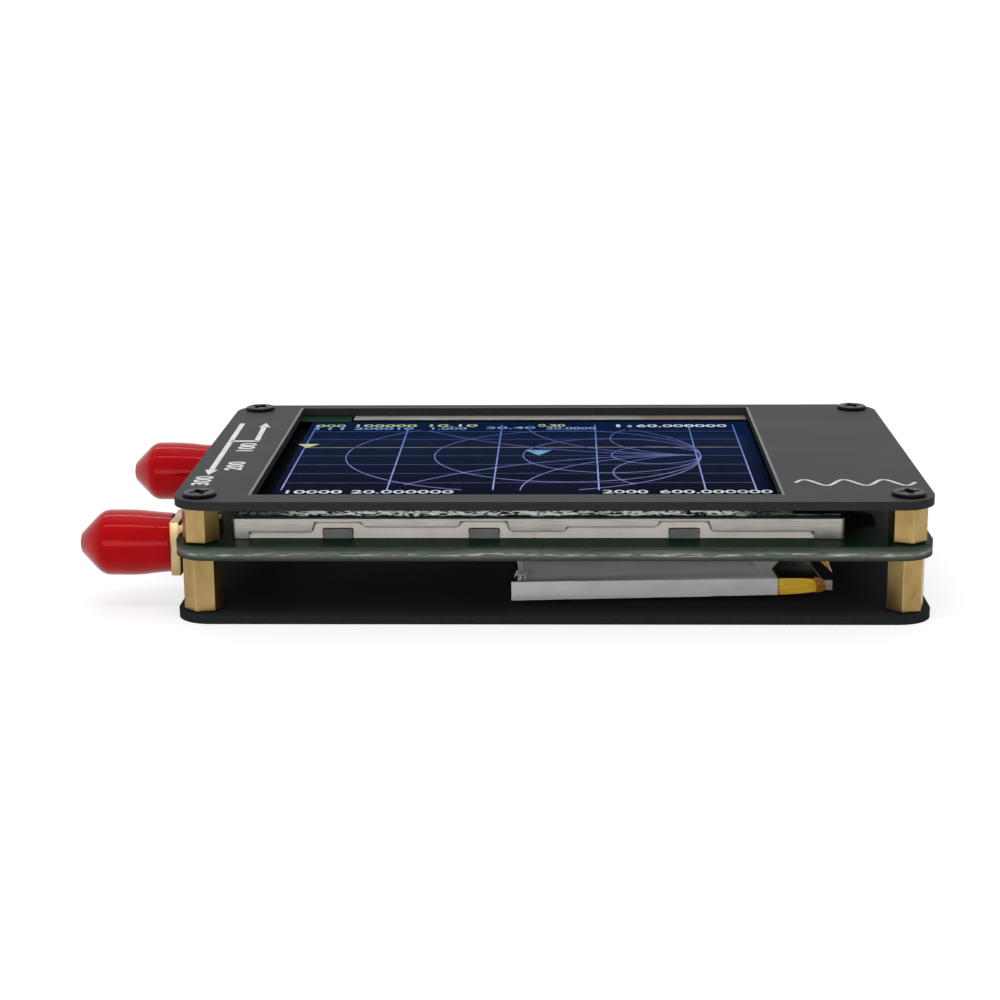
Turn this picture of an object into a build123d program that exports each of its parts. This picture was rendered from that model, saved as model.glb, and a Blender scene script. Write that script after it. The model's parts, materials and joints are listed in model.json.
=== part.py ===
from build123d import *
import math
import os

# Pocket antenna analyzer, in millimetres: two plates and a circuit board stacked on threaded pillars.
# X runs along the long side and the coax jacks are at its low end. Y runs from the front long side to the
# back one, where the switches and the charge socket are. Z is up, from the centre of the base face.

# Plates and board
BOARD_LENGTH = 85.5
BOARD_DEPTH = 54.0
CORNER_RADIUS = 4.0
BOTTOM_PLATE_THICKNESS = 1.0
BOARD_THICKNESS = 1.6
TOP_PLATE_THICKNESS = 1.0
WINDOW_CORNER = 0.4

# Pillars and screws
HOLE_INSET = 3.0
HOLE_RADIUS = 1.1
LOWER_PILLAR_HEIGHT = 6.4
PILLAR_FLATS = 3.8
PILLAR_CHAMFER = 0.2
THREAD_RADIUS = 1.0
THREAD_GAP = 0.02
STUD_REACH = 2.6
TOP_SCREW_REACH = 2.8
BOTTOM_SCREW_REACH = 2.6
SCREW_HEAD_RADIUS = 1.95
SCREW_HEAD_HEIGHT = 1.0
SUNK_HEAD_GAP = 0.05
# Turn of each pillar about its axis, in degrees: front left, front right, back left, back right
LOWER_PILLAR_TURNS = (14, 14, 3, 22)
UPPER_PILLAR_TURNS = (-10, -20, 17, 8)

# Screen module, set in from the board's edges
SCREEN_LEFT_MARGIN = 6.45
SCREEN_RIGHT_MARGIN = 9.95
SCREEN_FRONT_MARGIN = 3.5
SCREEN_BACK_MARGIN = 0.6
SCREEN_SEAT_GAP = 0.05
COVER_HEIGHT = 2.3
COVER_SHEET = 0.2
COVER_BEND = 0.45
COVER_LIP = 1.7
COVER_LEG = 3.4
STEP_SLANT = 0.35
# Steps of the cover's lower edge, as distance from its left end and height above the board
FRONT_STEPS = (
    (1.9, 0.8), (9.2, 1.95), (14.85, 1.4), (25.8, 2.05), (31.4, 0.9), (37.8, 1.4), (48.2, 2.05), (54.1, 0.9),
)
SIDE_STEPS = ((3.0, 0.8), (9.5, 1.95), (15.0, 1.4), (33.0, 1.95), (38.5, 0.8))
LATCH_LIFT = 1.9
LATCH_WIDTH = 3.3
LATCH_HEIGHT = 1.1
LATCH_DEPTH = 0.5
TRAY_GAP = 0.08
TRAY_WALL = 1.2
TRAY_FLOOR = 0.3
GUIDE_GAP = 0.08
GUIDE_THICKNESS = 1.1
FILM_THICKNESS = 0.35
RIM_TAPE_THICKNESS = 0.07
GLASS_THICKNESS = 0.4
GLASS_INSET = 0.5
GLASS_END_INSET = 0.8
GLASS_LEDGE = 5.3
POLARIZER_THICKNESS = 0.12
POLARIZER_INSET = 0.7
TOUCH_TAPE_THICKNESS = 0.06
TOUCH_TAPE_WIDTH = 1.6
TOUCH_THICKNESS = 0.7
PLATE_TO_TOUCH_GAP = 0.1
DRIVER_WIDTH = 1.3
DRIVER_LENGTH = 19.0
DRIVER_THICKNESS = 0.35

# Window of the top plate, set in from the plate's edges
WINDOW_LEFT_MARGIN = 8.75
WINDOW_RIGHT_MARGIN = 17.05
WINDOW_FRONT_MARGIN = 3.3
WINDOW_BACK_MARGIN = 2.0

# Ribbons from the glass down to the board
RIBBON_THICKNESS = 0.12
SCREEN_RIBBON_WIDTH = 22.0
SCREEN_RIBBON_SHIFT = 0.5
TOUCH_RIBBON_WIDTH = 4.0
TOUCH_RIBBON_SHIFT = 16.0
RIBBON_GRIP = 1.6
RIBBON_OVERHANG = 1.9
RIBBON_BEND = 0.75
RIBBON_FOOT = 2.6
RIBBON_SEAT = 0.03

# Coax jacks and their caps
JACK_EDGE_MARGIN = 9.0
JACK_PIN_RADIUS = 0.25
JACK_FLANGE_SIDE = 6.35
JACK_FLANGE_THICKNESS = 1.2
JACK_FLANGE_CHAMFER = 0.25
JACK_LEG_SIDE = 1.0
JACK_LEG_LENGTH = 4.0
JACK_PIN_LENGTH = 3.0
BARREL_RADIUS = 3.175
BARREL_LENGTH = 7.4
BARREL_CHAMFER = 0.35
MOUTH_RADIUS = 2.3
MOUTH_DEPTH = 1.9
INSULATOR_RADIUS = 2.05
CONTACT_RADIUS = 0.635
CONTACT_BORE = 0.46
CONTACT_BORE_DEPTH = 3.0
SOLID_FIT = 0.02
CAP_FIT = 0.05
CAP_LIP_WALL = 0.33
CAP_WALL = 0.62
CAP_END_GAP = 0.2
CAP_NOSE_FLAT = 0.95
CAP_NOSE_LENGTH = 2.85
CAP_CROWN = 3.35
CAP_NOSE_CUT = 0.4
CAP_SHOULDER_CUT = 0.9
FRONT_CAP_GAP = 0.05
BACK_CAP_GAP = 1.0

# Battery on the bottom plate, in its own frame from its front left corner
BATTERY_RIGHT_MARGIN = 16.75
BATTERY_FRONT_MARGIN = 4.7
BATTERY_TURN = 4.3
BATTERY_LENGTH = 30.7
BATTERY_DEPTH = 27.0
BATTERY_THICKNESS = 2.5
BATTERY_EDGE_ROUND = 0.9
BATTERY_SEAM_THICKNESS = 0.25
BATTERY_SEAM_HEIGHT = 2.1
PAD_THICKNESS = 0.3
PAD_INSET = 4.0
TAPE_LENGTH = 5.2
TAPE_THICKNESS = 0.12
TAPE_HEIGHT = 2.15
TAPE_OVERLAP = 0.9
GUARD_BOARD_LENGTH = 4.4
GUARD_BOARD_THICKNESS = 0.6
GUARD_BOARD_INSET = 0.9
GUARD_CHIP_PITCH = 4.4
GUARD_CHIP_WIDTH = 2.2
GUARD_CHIP_HEIGHT = 0.7
LEAD_RADIUS = 0.4
LEAD_PITCH = 1.6
LEAD_BACK_INSET = 5.0
LEAD_PAD_RIGHT_MARGIN = 8.9
LEAD_BEND = 1.0
SOLDER_RADIUS = 0.75
SOLDER_HEIGHT = 0.55
SCRAP_RIGHT_MARGIN = 10.2
SCRAP_FRONT_MARGIN = 1.9
SCRAP_WIDTH = 1.5
SCRAP_HEIGHT = 1.25
SCRAP_THICKNESS = 0.12
SCRAP_GRIP = 1.6

# Chips on the board's underside
LEAD_FOOT = 0.55
LEAD_SHEET = 0.14
CHIP_STANDOFF = 0.1
SHIELD_LENGTH = 22.0
SHIELD_DEPTH = 25.0
SHIELD_HEIGHT = 2.4
SHIELD_SHEET = 0.2
SHIELD_LEFT_MARGIN = 6.2
SHIELD_CORNER_GAP = 0.5
CONTROLLER_SIDE = 7.0
CONTROLLER_HEIGHT = 1.4
CONTROLLER_PITCH = 0.8
CONTROLLER_LEAD_COUNT = 8
MIXER_LENGTH = 4.9
MIXER_DEPTH = 3.9
MIXER_HEIGHT = 1.45
MIXER_PITCH = 1.27
CODEC_SIDE = 5.0
CODEC_HEIGHT = 0.85
CLOCK_SIDE = 3.0
CLOCK_HEIGHT = 0.95
CLOCK_PITCH = 0.5
INDUCTOR_SIDE = 4.0
INDUCTOR_HEIGHT = 1.8
CRYSTAL_LENGTH = 3.2
CRYSTAL_DEPTH = 2.5
CRYSTAL_HEIGHT = 0.8
CHIP_PART_LENGTH = 1.6
CHIP_PART_DEPTH = 0.8
CAPACITOR_HEIGHT = 0.8
RESISTOR_HEIGHT = 0.45
PART_PITCH = 1.5
CHIP_COLUMN_GAP = 6.4

# Charge socket, in from the board's right and back edges
SOCKET_RIGHT_MARGIN = 40.75
SOCKET_WIDTH = 8.94
SOCKET_HEIGHT = 3.16
SOCKET_DEPTH = 7.3
SOCKET_SHEET = 0.25
SOCKET_OVERHANG = 0.6
TONGUE_WIDTH = 6.7
TONGUE_THICKNESS = 0.7
TONGUE_REACH = 4.6
SOCKET_BLOCK_DEPTH = 1.8
SOCKET_LEG_WIDTH = 1.0
SOCKET_LEG_LENGTH = 1.3
SLOT_GAP = 0.15
PAD_COUNT = 8
PAD_PITCH = 0.7
PAD_WIDTH = 0.3
PAD_SKIN = 0.04

# Power slide switch
SWITCH_RIGHT_MARGIN = 25.75
SWITCH_WIDTH = 6.7
SWITCH_DEPTH = 2.7
SWITCH_HEIGHT = 1.5
SWITCH_SHEET = 0.15
SWITCH_BASE_HEIGHT = 0.35
SLIDER_WIDTH = 1.3
SLIDER_TRAVEL = 2.0
SLIDER_HEIGHT = 0.7
SLIDER_REACH = 1.5
SLIDER_SHOE_WIDTH = 2.6
SLIDER_SHOE_DEPTH = 1.2
SLIDER_GAP = 0.05

# Lever switch
LEVER_RIGHT_MARGIN = 12.75
LEVER_CASE_WIDTH = 8.0
LEVER_CASE_DEPTH = 4.8
LEVER_CASE_HEIGHT = 2.3
LEVER_CASE_SETBACK = 0.6
LEVER_SHEET = 0.2
LEVER_BASE_HEIGHT = 0.4
LEVER_MOUTH_WIDTH = 3.6
LEVER_PUSH = 0.4
LEVER_TILT = 12.0
LEVER_GAP = 0.06
PLUNGER_WIDTH = 4.4
PLUNGER_DEPTH = 2.6
PLUNGER_FLOOR = 0.4
PIVOT_RADIUS = 0.35
HUB_RADIUS = 0.8
PIVOT_SETBACK = 2.0
ARM_WIDTH = 1.0
ARM_THICKNESS = 0.75
THUMB_WIDTH = 5.2
THUMB_DEPTH = 1.7
THUMB_THICKNESS = 1.3
THUMB_DISH = 0.35
THUMB_CLEARANCE = 1.15

# Levels of the stack
BOARD_BOTTOM = BOTTOM_PLATE_THICKNESS + LOWER_PILLAR_HEIGHT
BOARD_TOP = BOARD_BOTTOM + BOARD_THICKNESS
SCREEN_SEAT = BOARD_TOP + SCREEN_SEAT_GAP
COVER_TOP = SCREEN_SEAT + COVER_HEIGHT
LOWER_GLASS_BOTTOM = COVER_TOP + RIM_TAPE_THICKNESS
LEDGE_TOP = LOWER_GLASS_BOTTOM + GLASS_THICKNESS
UPPER_GLASS_TOP = LEDGE_TOP + GLASS_THICKNESS
POLARIZER_TOP = UPPER_GLASS_TOP + POLARIZER_THICKNESS
TOUCH_BOTTOM = POLARIZER_TOP + TOUCH_TAPE_THICKNESS
TOUCH_TOP = TOUCH_BOTTOM + TOUCH_THICKNESS
TOP_PLATE_BOTTOM = TOUCH_TOP + PLATE_TO_TOUCH_GAP
TOP_PLATE_TOP = TOP_PLATE_BOTTOM + TOP_PLATE_THICKNESS
UPPER_PILLAR_HEIGHT = TOP_PLATE_BOTTOM - BOARD_TOP

# Edges of the board, and the places set in from them
LEFT, RIGHT = -BOARD_LENGTH / 2, BOARD_LENGTH / 2
FRONT, BACK = -BOARD_DEPTH / 2, BOARD_DEPTH / 2
HOLES = [(x, y) for y in (FRONT + HOLE_INSET, BACK - HOLE_INSET) for x in (LEFT + HOLE_INSET, RIGHT - HOLE_INSET)]
SCREEN_X = (LEFT + SCREEN_LEFT_MARGIN, RIGHT - SCREEN_RIGHT_MARGIN)
SCREEN_Y = (FRONT + SCREEN_FRONT_MARGIN, BACK - SCREEN_BACK_MARGIN)
LOWER_GLASS_X = (SCREEN_X[0] + GLASS_END_INSET, SCREEN_X[1] - GLASS_INSET)
UPPER_GLASS_X = (LOWER_GLASS_X[0], LOWER_GLASS_X[1] - GLASS_LEDGE)
GLASS_Y = (SCREEN_Y[0] + GLASS_INSET, SCREEN_Y[1] - GLASS_INSET)
GLASS_MID_Y = (GLASS_Y[0] + GLASS_Y[1]) / 2
SHIELD_X = (LEFT + SHIELD_LEFT_MARGIN, LEFT + SHIELD_LEFT_MARGIN + SHIELD_LENGTH)
CHIP_COLUMN_X = SHIELD_X[1] + CHIP_COLUMN_GAP
JACK_Z = BOARD_BOTTOM - JACK_PIN_RADIUS
JACK_Y = {"front": FRONT + JACK_EDGE_MARGIN, "back": BACK - JACK_EDGE_MARGIN}
FLANGE_FACE = LEFT - JACK_FLANGE_THICKNESS
SOCKET_X = RIGHT - SOCKET_RIGHT_MARGIN
SOCKET_Z = BOARD_BOTTOM - SOCKET_HEIGHT / 2
SOCKET_Y = (BACK + SOCKET_OVERHANG - SOCKET_DEPTH, BACK + SOCKET_OVERHANG)
SWITCH_X = RIGHT - SWITCH_RIGHT_MARGIN
LEVER_X = RIGHT - LEVER_RIGHT_MARGIN
LEVER_BACK = BACK - LEVER_CASE_SETBACK
PIVOT_Y = LEVER_BACK - PIVOT_SETBACK
BATTERY_Z = BOTTOM_PLATE_THICKNESS + PAD_THICKNESS
BATTERY_X = RIGHT - BATTERY_RIGHT_MARGIN - BATTERY_LENGTH
BATTERY_PLACE = Location((BATTERY_X, FRONT + BATTERY_FRONT_MARGIN, BATTERY_Z), (0, 0, BATTERY_TURN))
UPRIGHT = (Align.CENTER, Align.CENTER, Align.MIN)


def block(x, y, z):
    """Box between the low and high value on each axis."""
    low, high = zip(x, y, z)
    centre = [(a + b) / 2 for a, b in zip(low, high)]
    return Pos(*centre) * Box(*[b - a for a, b in zip(low, high)])


def inset(span, amount):
    """A (low, high) span drawn in by an amount at each end."""
    return (span[0] + amount, span[1] - amount)


def around(centre, width):
    """A (low, high) span of a width about a centre."""
    return (centre - width / 2, centre + width / 2)


def upright(radius, bottom, top, x=0.0, y=0.0):
    """Cylinder along Z between two levels."""
    return Pos(x, y, bottom) * Cylinder(radius, top - bottom, align=UPRIGHT)


def turned(points):
    """Solid of revolution about Z from (radius, height) points."""
    outline = Plane.XZ * make_face(Polyline(*points, close=True))
    return revolve(outline, Axis.Z)


def plate(thickness, bottom):
    """Rounded plate with the outline of the board and its four holes."""
    outline = RectangleRounded(BOARD_LENGTH, BOARD_DEPTH, CORNER_RADIUS)
    solid = Pos(0, 0, bottom) * extrude(outline, thickness)
    for x, y in HOLES:
        solid -= upright(HOLE_RADIUS, bottom - 1, bottom + thickness + 1, x, y)
    return solid


# ---- Plates, pillars and screws ----


def bottom_plate():
    """Base plate, its holes countersunk from below."""
    solid = plate(BOTTOM_PLATE_THICKNESS, 0)
    mouth = SCREW_HEAD_RADIUS + SUNK_HEAD_GAP
    depth = mouth - HOLE_RADIUS
    for x, y in HOLES:
        solid -= Pos(x, y, 0) * Cone(mouth, HOLE_RADIUS, depth, align=UPRIGHT)
    return solid


def top_plate():
    """Front panel with the screen's window."""
    window_x = (LEFT + WINDOW_LEFT_MARGIN, RIGHT - WINDOW_RIGHT_MARGIN)
    window_y = (FRONT + WINDOW_FRONT_MARGIN, BACK - WINDOW_BACK_MARGIN)
    cutter = block(window_x, window_y, (TOP_PLATE_BOTTOM - 1, TOP_PLATE_TOP + 1))
    cutter = fillet(cutter.edges().filter_by(Axis.Z), WINDOW_CORNER)
    return plate(TOP_PLATE_THICKNESS, TOP_PLATE_BOTTOM) - cutter


def hexagon(height, bottom, turn):
    """Hexagonal bar along Z with its edges broken at both ends."""
    bar = extrude(RegularPolygon(PILLAR_FLATS / 2, 6, major_radius=False, rotation=turn), height)
    ends = bar.edges().group_by(Axis.Z)
    return Pos(0, 0, bottom) * chamfer(ends[0] + ends[-1], PILLAR_CHAMFER)


def lower_pillars():
    """Tall pillars under the board, threaded right through."""
    pillars = []
    for (x, y), turn in zip(HOLES, LOWER_PILLAR_TURNS):
        pillar = hexagon(LOWER_PILLAR_HEIGHT, BOTTOM_PLATE_THICKNESS, turn)
        pillar -= upright(THREAD_RADIUS, BOTTOM_PLATE_THICKNESS - 1, BOARD_BOTTOM + 1)
        pillars.append(Pos(x, y, 0) * pillar)
    return pillars


def upper_pillars():
    """Short pillars on the board, each with a stud that passes through the board."""
    pillars = []
    for (x, y), turn in zip(HOLES, UPPER_PILLAR_TURNS):
        pillar = hexagon(UPPER_PILLAR_HEIGHT, BOARD_TOP, turn)
        pillar -= upright(THREAD_RADIUS, TOP_PLATE_BOTTOM - TOP_SCREW_REACH - PILLAR_CHAMFER, TOP_PLATE_BOTTOM + 1)
        pillar += upright(THREAD_RADIUS - THREAD_GAP, BOARD_BOTTOM - STUD_REACH, BOARD_TOP)
        pillars.append(Pos(x, y, 0) * pillar)
    return pillars


def top_screws():
    """Pan-head screws through the top plate into the upper pillars."""
    head = upright(SCREW_HEAD_RADIUS, TOP_PLATE_TOP, TOP_PLATE_TOP + SCREW_HEAD_HEIGHT)
    screw = head + upright(THREAD_RADIUS - THREAD_GAP, TOP_PLATE_BOTTOM - TOP_SCREW_REACH, TOP_PLATE_TOP)
    return [Pos(x, y, 0) * screw for x, y in HOLES]


def bottom_screws():
    """Countersunk screws through the bottom plate into the lower pillars, flush with the base face."""
    shank_radius = THREAD_RADIUS - THREAD_GAP
    head = Cone(SCREW_HEAD_RADIUS, shank_radius, SCREW_HEAD_RADIUS - shank_radius, align=UPRIGHT)
    screw = head + upright(shank_radius, 0, BOTTOM_PLATE_THICKNESS + BOTTOM_SCREW_REACH)
    return [Pos(x, y, 0) * screw for x, y in HOLES]


# ---- Main board ----


def socket_leg_places():
    """Centres of the four legs that hold the charge socket's shell in the board."""
    side = SOCKET_WIDTH / 2 - SOCKET_SHEET / 2
    rows = (SOCKET_Y[0] + SOCKET_LEG_WIDTH, BACK - 2 * SOCKET_LEG_WIDTH)
    return [(SOCKET_X + sign * side, y) for sign in (-1, 1) for y in rows]


def main_board():
    """Circuit board, with slots for the charge socket's legs."""
    solid = plate(BOARD_THICKNESS, BOARD_BOTTOM)
    span = (BOARD_BOTTOM - 1, BOARD_TOP + 1)
    for x, y in socket_leg_places():
        width = SOCKET_SHEET + 2 * SLOT_GAP
        solid -= block(around(x, width), around(y, SOCKET_LEG_WIDTH + 2 * SLOT_GAP), span)
    return solid


# ---- Screen module ----


def step_profile(length, steps):
    """Outline of what is cut from a cover wall's foot, as (distance, height) points."""
    points = [(steps[0][0], -COVER_HEIGHT), steps[0]]
    for (_, before), (distance, after) in zip(steps, steps[1:]):
        points.append((distance - STEP_SLANT / 2, before))
        points.append((distance + STEP_SLANT / 2, after))
    points.append((length - COVER_LEG, steps[-1][1]))
    points.append((length - COVER_LEG, -COVER_HEIGHT))
    return points


def screen_cover():
    """Folded metal cover round the backlight: a lip on top and walls whose lower edges are stepped."""
    height = (SCREEN_SEAT, COVER_TOP)
    outer = block(SCREEN_X, SCREEN_Y, height)
    outer = fillet(outer.edges().filter_by(Axis.Z), COVER_BEND)
    inside = block(inset(SCREEN_X, COVER_SHEET), inset(SCREEN_Y, COVER_SHEET), (SCREEN_SEAT - 1, COVER_TOP - COVER_SHEET))
    inside = fillet(inside.edges().filter_by(Axis.Z), COVER_BEND - COVER_SHEET)
    cover = outer - inside
    cover -= block(inset(SCREEN_X, COVER_LIP), inset(SCREEN_Y, COVER_LIP), (SCREEN_SEAT, COVER_TOP + 1))
    wall = 2 * COVER_SHEET
    long_face = make_face(Polyline(*step_profile(SCREEN_X[1] - SCREEN_X[0], FRONT_STEPS), close=True))
    side_face = make_face(Polyline(*step_profile(SCREEN_Y[1] - SCREEN_Y[0], SIDE_STEPS), close=True))
    for y in SCREEN_Y:
        cover -= Pos(SCREEN_X[0], y, SCREEN_SEAT) * extrude(Plane.XZ * long_face, wall, both=True)
    for x in SCREEN_X:
        cover -= Pos(x, SCREEN_Y[0], SCREEN_SEAT) * extrude(Plane.YZ * side_face, wall, both=True)
    return cover


def latch_blocks(gap):
    """Latch plates under the cover's raised steps, front and back, or their pockets with a gap."""
    ends = [distance for distance, _ in FRONT_STEPS] + [SCREEN_X[1] - SCREEN_X[0] - COVER_LEG]
    blocks = []
    for (start, lift), end in zip(FRONT_STEPS, ends[1:]):
        if lift < LATCH_LIFT:
            continue
        x = around(SCREEN_X[0] + (start + end) / 2, LATCH_WIDTH + 2 * gap)
        z = (SCREEN_SEAT - gap, SCREEN_SEAT + LATCH_HEIGHT + gap)
        front = SCREEN_Y[0] + COVER_SHEET / 2
        back = SCREEN_Y[1] - COVER_SHEET / 2
        blocks.append(block(x, (front, front + LATCH_DEPTH + gap), z))
        blocks.append(block(x, (back - LATCH_DEPTH - gap, back), z))
    return blocks


def backlight_tray():
    """Plastic tray that the cover is folded round, open at the top."""
    skin = COVER_SHEET + TRAY_GAP
    outer = block(inset(SCREEN_X, skin), inset(SCREEN_Y, skin), (SCREEN_SEAT, COVER_TOP - skin))
    outer = fillet(outer.edges().filter_by(Axis.Z), COVER_BEND - COVER_SHEET)
    wall = skin + TRAY_WALL
    tray = outer - block(inset(SCREEN_X, wall), inset(SCREEN_Y, wall), (SCREEN_SEAT + TRAY_FLOOR, COVER_TOP + 1))
    for pocket in latch_blocks(TRAY_GAP):
        tray -= pocket
    return tray


def tray_fill(low, high):
    """Sheet that fills the tray between two heights above its floor."""
    edge = COVER_SHEET + TRAY_GAP + TRAY_WALL + GUIDE_GAP
    floor = SCREEN_SEAT + TRAY_FLOOR
    return block(inset(SCREEN_X, edge), inset(SCREEN_Y, edge), (floor + low, floor + high))


def glass_rim_tape():
    """Thin black adhesive ring that holds the glass on the cover's lip."""
    height = (COVER_TOP, LOWER_GLASS_BOTTOM)
    ring = block(LOWER_GLASS_X, GLASS_Y, height)
    return ring - block(inset(SCREEN_X, COVER_LIP), inset(SCREEN_Y, COVER_LIP), (COVER_TOP - 1, COVER_TOP + 1))


def screen_glass():
    """Liquid crystal cell of two sheets, the lower one longer, so that its end is a ledge."""
    lower = block(LOWER_GLASS_X, GLASS_Y, (LOWER_GLASS_BOTTOM, LEDGE_TOP))
    return lower + block(UPPER_GLASS_X, GLASS_Y, (LEDGE_TOP, UPPER_GLASS_TOP))


def polarizer():
    """Film on top of the cell."""
    return block(inset(UPPER_GLASS_X, POLARIZER_INSET), inset(GLASS_Y, POLARIZER_INSET), (UPPER_GLASS_TOP, POLARIZER_TOP))


def touch_rim_tape():
    """Adhesive ring that holds the touch panel over the cell."""
    ring = block(UPPER_GLASS_X, GLASS_Y, (UPPER_GLASS_TOP, TOUCH_BOTTOM))
    hole = block(inset(UPPER_GLASS_X, POLARIZER_INSET), inset(GLASS_Y, POLARIZER_INSET), (UPPER_GLASS_TOP - 1, TOUCH_TOP))
    return ring - hole


def touch_panel():
    """Glass touch panel, just under the top plate."""
    return block(UPPER_GLASS_X, GLASS_Y, (TOUCH_BOTTOM, TOUCH_TOP))


def display_driver():
    """Long driver chip bonded on the glass ledge."""
    centre = UPPER_GLASS_X[1] + GLASS_LEDGE / 3
    y = around(GLASS_MID_Y + SCREEN_RIBBON_SHIFT, DRIVER_LENGTH)
    return block(around(centre, DRIVER_WIDTH), y, (LEDGE_TOP, LEDGE_TOP + DRIVER_THICKNESS))


def ribbon(grip_x, grip_level, width, centre_y, overhang):
    """Flat ribbon that leaves a glass edge, turns down beside the module and turns out flat on the board."""
    foot_level = BOARD_TOP + RIBBON_SEAT + RIBBON_THICKNESS / 2
    level = grip_level + RIBBON_THICKNESS / 2
    drop_x = SCREEN_X[1] + overhang
    route = FilletPolyline(
        (grip_x - RIBBON_GRIP, 0, level),
        (drop_x, 0, level),
        (drop_x, 0, foot_level),
        (drop_x + RIBBON_FOOT, 0, foot_level),
        radius=RIBBON_BEND,
    )
    section = Plane(origin=route @ 0, z_dir=route % 0, x_dir=(0, 1, 0)) * Rectangle(width, RIBBON_THICKNESS)
    return Pos(0, centre_y, 0) * sweep(section, path=route)


def screen_ribbon():
    """Ribbon of the display, from the glass ledge to the board."""
    centre = GLASS_MID_Y + SCREEN_RIBBON_SHIFT
    return ribbon(LOWER_GLASS_X[1], LEDGE_TOP, SCREEN_RIBBON_WIDTH, centre, RIBBON_OVERHANG)


def touch_ribbon():
    """Narrow ribbon of the touch panel, from under the panel's edge to the board."""
    centre = GLASS_MID_Y - TOUCH_RIBBON_SHIFT
    level = UPPER_GLASS_TOP + RIBBON_SEAT
    grip = UPPER_GLASS_X[1] + RIBBON_GRIP
    return ribbon(grip, level, TOUCH_RIBBON_WIDTH, centre, RIBBON_OVERHANG)


# ---- Coax jacks and dust caps, first along Z from the flange's outer face, then laid along -X ----


def on_jack(side, shape, gap=0.0):
    """Lays a shape made along Z on a jack's axis, pointing out of the left edge."""
    return Pos(FLANGE_FACE - gap, JACK_Y[side], JACK_Z) * Rot(0, -90, 0) * shape


def coax_jack(side):
    """Edge jack: square flange against the board's edge, four legs astride it and a threaded barrel."""
    flange = block(
        around(0, JACK_FLANGE_SIDE), around(0, JACK_FLANGE_SIDE), (-JACK_FLANGE_THICKNESS, 0)
    )
    flange = chamfer(flange.edges().filter_by(Axis.Z), JACK_FLANGE_CHAMFER)
    barrel = turned(
        [
            (0, 0),
            (BARREL_RADIUS, 0),
            (BARREL_RADIUS, BARREL_LENGTH - BARREL_CHAMFER),
            (BARREL_RADIUS - BARREL_CHAMFER, BARREL_LENGTH),
            (MOUTH_RADIUS, BARREL_LENGTH),
            (MOUTH_RADIUS, BARREL_LENGTH - MOUTH_DEPTH),
            (0, BARREL_LENGTH - MOUTH_DEPTH),
        ]
    )
    body = flange + barrel - upright(INSULATOR_RADIUS, -JACK_FLANGE_THICKNESS - 1, BARREL_LENGTH)
    body = on_jack(side, body)
    y_offset = (JACK_FLANGE_SIDE - JACK_LEG_SIDE) / 2
    x = (LEFT, LEFT + JACK_LEG_LENGTH)
    for sign in (-1, 1):
        y = around(JACK_Y[side] + sign * y_offset, JACK_LEG_SIDE)
        body += block(x, y, (BOARD_TOP, BOARD_TOP + JACK_LEG_SIDE))
        body += block(x, y, (BOARD_BOTTOM - JACK_LEG_SIDE, BOARD_BOTTOM))
    return body


def jack_insulators():
    """White plastic sleeves that hold the centre contacts in the jacks."""
    sleeve = upright(INSULATOR_RADIUS - SOLID_FIT, -JACK_FLANGE_THICKNESS, BARREL_LENGTH - MOUTH_DEPTH)
    sleeve -= upright(CONTACT_RADIUS + SOLID_FIT, -JACK_FLANGE_THICKNESS - 1, BARREL_LENGTH)
    return [on_jack(side, sleeve) for side in JACK_Y]


def jack_contacts():
    """Hollow centre contacts, each with a pin that lies on the board's underside."""
    face = BARREL_LENGTH - MOUTH_DEPTH
    contact = upright(CONTACT_RADIUS, -JACK_FLANGE_THICKNESS, face)
    contact -= upright(CONTACT_BORE, face - CONTACT_BORE_DEPTH, face + 1)
    contact += upright(JACK_PIN_RADIUS, -JACK_FLANGE_THICKNESS - JACK_PIN_LENGTH, -JACK_FLANGE_THICKNESS)
    return [on_jack(side, contact) for side in JACK_Y]


def dust_cap(side, gap):
    """Soft push-on cap: a mouth that grips the barrel, a swollen body and a blunt conical nose."""
    bore = BARREL_RADIUS + CAP_FIT
    bore_depth = BARREL_LENGTH + CAP_END_GAP
    swell = bore + CAP_WALL
    length = bore_depth + CAP_CROWN
    outline = make_face(
        Polyline(
            (0, 0),
            (bore + CAP_LIP_WALL, 0),
            (swell, length - CAP_NOSE_LENGTH),
            (CAP_NOSE_FLAT, length),
            (0, length),
            close=True,
        )
    )
    shoulder = outline.vertices().sort_by(Axis.X)[-1]
    outline = chamfer(shoulder, CAP_SHOULDER_CUT)
    nose = outline.vertices().filter_by(lambda v: v.X > 0).sort_by(Axis.Y)[-1]
    outline = chamfer(nose, CAP_NOSE_CUT)
    body = revolve(Plane.XZ * outline, Axis.Z) - upright(bore, -1, bore_depth)
    return on_jack(side, body, gap)


# ---- Battery ----


def battery_pouch():
    """Flat pouch cell with rounded sides and its side seams folded up."""
    body = block((0, BATTERY_LENGTH), (0, BATTERY_DEPTH), (0, BATTERY_THICKNESS))
    body = fillet(body.edges().filter_by(Axis.X).group_by(Axis.Z)[-1], BATTERY_EDGE_ROUND)
    for y in ((-BATTERY_SEAM_THICKNESS, 0), (BATTERY_DEPTH, BATTERY_DEPTH + BATTERY_SEAM_THICKNESS)):
        body += block((0, BATTERY_LENGTH), y, (0, BATTERY_SEAM_HEIGHT))
    floor = block((0, BATTERY_LENGTH), (-BATTERY_SEAM_THICKNESS, BATTERY_EDGE_ROUND), (0, BATTERY_SEAM_THICKNESS))
    return BATTERY_PLACE * (body + floor)


def battery_pad():
    """Foam adhesive pad between the battery and the bottom plate."""
    pad = block(
        inset((0, BATTERY_LENGTH), PAD_INSET), inset((0, BATTERY_DEPTH), PAD_INSET), (-PAD_THICKNESS, 0)
    )
    return BATTERY_PLACE * pad


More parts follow.
